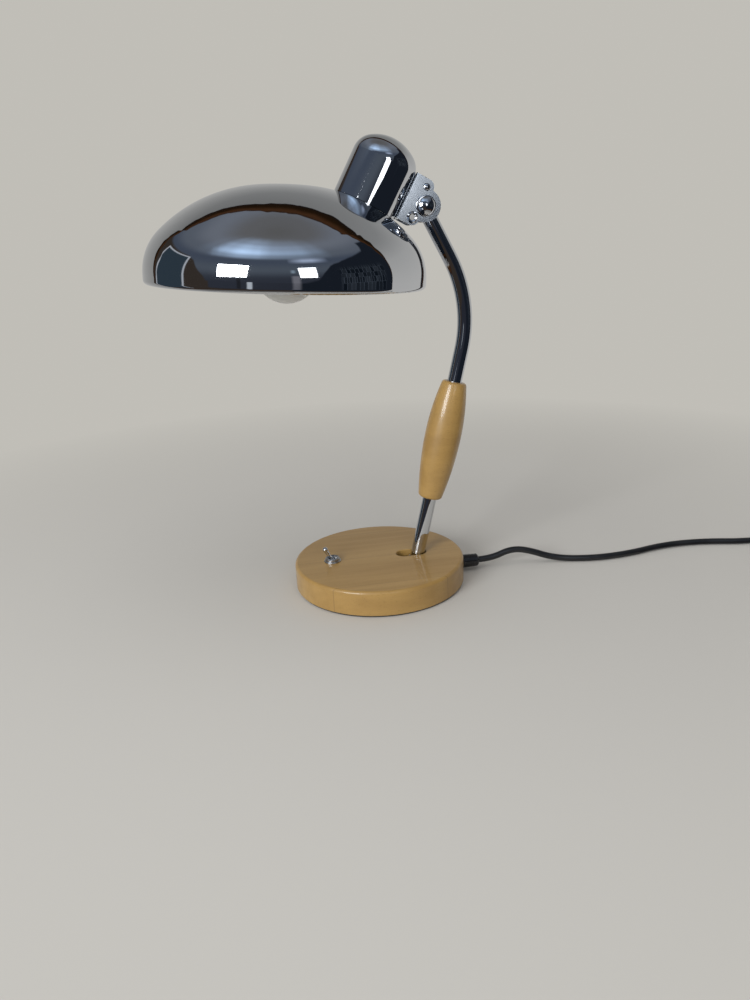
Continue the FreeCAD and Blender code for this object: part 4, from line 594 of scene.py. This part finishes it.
def paintArch(tree, azimuth, height, colour):
    look = archLook
    start, stop = look["fromAzimuth"], look["toAzimuth"]
    along = remap(tree, azimuth, azimuthPart(start), azimuthPart(stop), 0, 1)
    outline = [((to - start) / (stop - start), heightPart(up)) for to, up in look["top"]]
    top = ramp(tree, along, outline, "B_SPLINE")
    overPaper = calculate(tree, "SUBTRACT", height, top)
    rail = ramp(tree, calculate(tree, "DIVIDE", overPaper, look["railHeight"]), look["rail"], "EASE")
    railTop = calculate(tree, "ADD", top, look["railHeight"])
    colour = mixColour(tree, under(tree, height, railTop, soft=0.003), colour, rail)
    paper = ramp(tree, height, [(heightPart(up), tone) for up, tone in look["paper"]])
    light = ramp(tree, azimuth, [(azimuthPart(to), strength) for to, strength in look["light"]])
    paper = mixColour(tree, 1.0, paper, light, "MULTIPLY")
    return mixColour(tree, under(tree, height, top, soft=0.002), colour, paper)


def paintRoom(tree, azimuth, height):
    colour = paintWalls(tree, azimuth, height)
    colour = paintShape(tree, azimuth, height, colour, corniceShape)
    colour = paintFurniture(tree, azimuth, height, colour)
    colour = paintShelves(tree, azimuth, height, colour)
    for shape in roomShapes:
        colour = paintShape(tree, azimuth, height, colour, shape)
    return paintArch(tree, azimuth, height, colour)


# The pale floor, which fades into the backdrop's colour away from the lamp
stageLook = {
    "backdrop": (0.53, 0.515, 0.475), "floor": (0.615, 0.59, 0.545), "floorRadius": 9, "floorSides": 96,
    "fades": (0.3, 0.9), "mirrored": 0.28,                                     # metres from the base's middle
}


def makeWorld():
    world = bpy.data.worlds.new("room")
    bpy.context.scene.world = world
    world.use_nodes = True
    tree = world.node_tree
    tree.nodes.clear()
    coordinates = addNode(tree, "ShaderNodeTexCoord")
    parts = addNode(tree, "ShaderNodeSeparateXYZ", {"Vector": coordinates.outputs["Generated"]})
    turn = calculate(tree, "ARCTAN2", parts.outputs["X"], parts.outputs["Y"])
    rise = calculate(tree, "ARCSINE", parts.outputs["Z"])
    lowest, highest = math.radians(roomLook["lowest"]), math.radians(roomLook["highest"])
    azimuth = remap(tree, turn, -math.pi, math.pi, 0, 1)
    height = remap(tree, rise, lowest, highest, 0, 1)
    room = paintRoom(tree, azimuth, height)
    mirrored = addNode(tree, "ShaderNodeBackground", {"Color": room}, Strength=1.0)
    daylight = remap(tree, parts.outputs["X"], -1, 1, *lightSetup["ambient"])
    soft = addNode(tree, "ShaderNodeBackground", {"Strength": daylight},
                   Color=(*lightSetup["ambientColour"], 1))
    backdrop = addNode(tree, "ShaderNodeBackground", Color=(*stageLook["backdrop"], 1), Strength=1.0)
    rays = addNode(tree, "ShaderNodeLightPath")
    glossy = calculate(tree, "MAXIMUM", rays.outputs["Is Glossy Ray"], rays.outputs["Is Transmission Ray"])
    unseen = addNode(tree, "ShaderNodeMixShader", {0: glossy, 1: soft.outputs[0], 2: mirrored.outputs[0]})
    whole = addNode(tree, "ShaderNodeMixShader", {
        0: rays.outputs["Is Camera Ray"], 1: unseen.outputs[0], 2: backdrop.outputs[0]})
    addNode(tree, "ShaderNodeOutputWorld", {"Surface": whole.outputs[0]})


def makeFloor():
    mesh = bpy.data.meshes.new("studioFloor")
    form = bmesh.new()
    bmesh.ops.create_circle(form, cap_ends=True, segments=stageLook["floorSides"],
                            radius=stageLook["floorRadius"])
    form.to_mesh(mesh)
    form.free()
    floor = bpy.data.objects.new("studioFloor", mesh)
    bpy.context.scene.collection.objects.link(floor)
    material, tree, shader = newMaterial("paperFloor", {
        "Base Color": (*stageLook["floor"], 1), "Roughness": 0.85, "Specular IOR Level": 0.1})
    coordinates = addNode(tree, "ShaderNodeTexCoord")
    away = addNode(tree, "ShaderNodeVectorMath", {0: coordinates.outputs["Object"]}, operation="LENGTH")
    away = away.outputs["Value"]
    rays = addNode(tree, "ShaderNodeLightPath")
    faded = remap(tree, away, *stageLook["fades"], 0, 1)
    faded = calculate(tree, "MULTIPLY", faded, rays.outputs["Is Camera Ray"])
    glow = addNode(tree, "ShaderNodeEmission", Color=(*stageLook["backdrop"], 1), Strength=1.0)
    seen = addNode(tree, "ShaderNodeMixShader", {0: faded, 1: shader.outputs[0], 2: glow.outputs[0]})
    gone = calculate(tree, "GREATER_THAN", away, stageLook["mirrored"])
    gone = calculate(tree, "MULTIPLY", gone, rays.outputs["Is Glossy Ray"])
    clear = addNode(tree, "ShaderNodeBsdfTransparent")
    whole = addNode(tree, "ShaderNodeMixShader", {0: gone, 1: seen.outputs[0], 2: clear.outputs[0]})
    tree.links.new(whole.outputs[0], tree.nodes["Material Output"].inputs["Surface"])
    mesh.materials.append(material)


makeLights()
makeWorld()
makeFloor()
bpy.context.scene.view_settings.view_transform = "Standard"
print("room lit")


def writeSizes():
    print("scene built")


writeSizes()
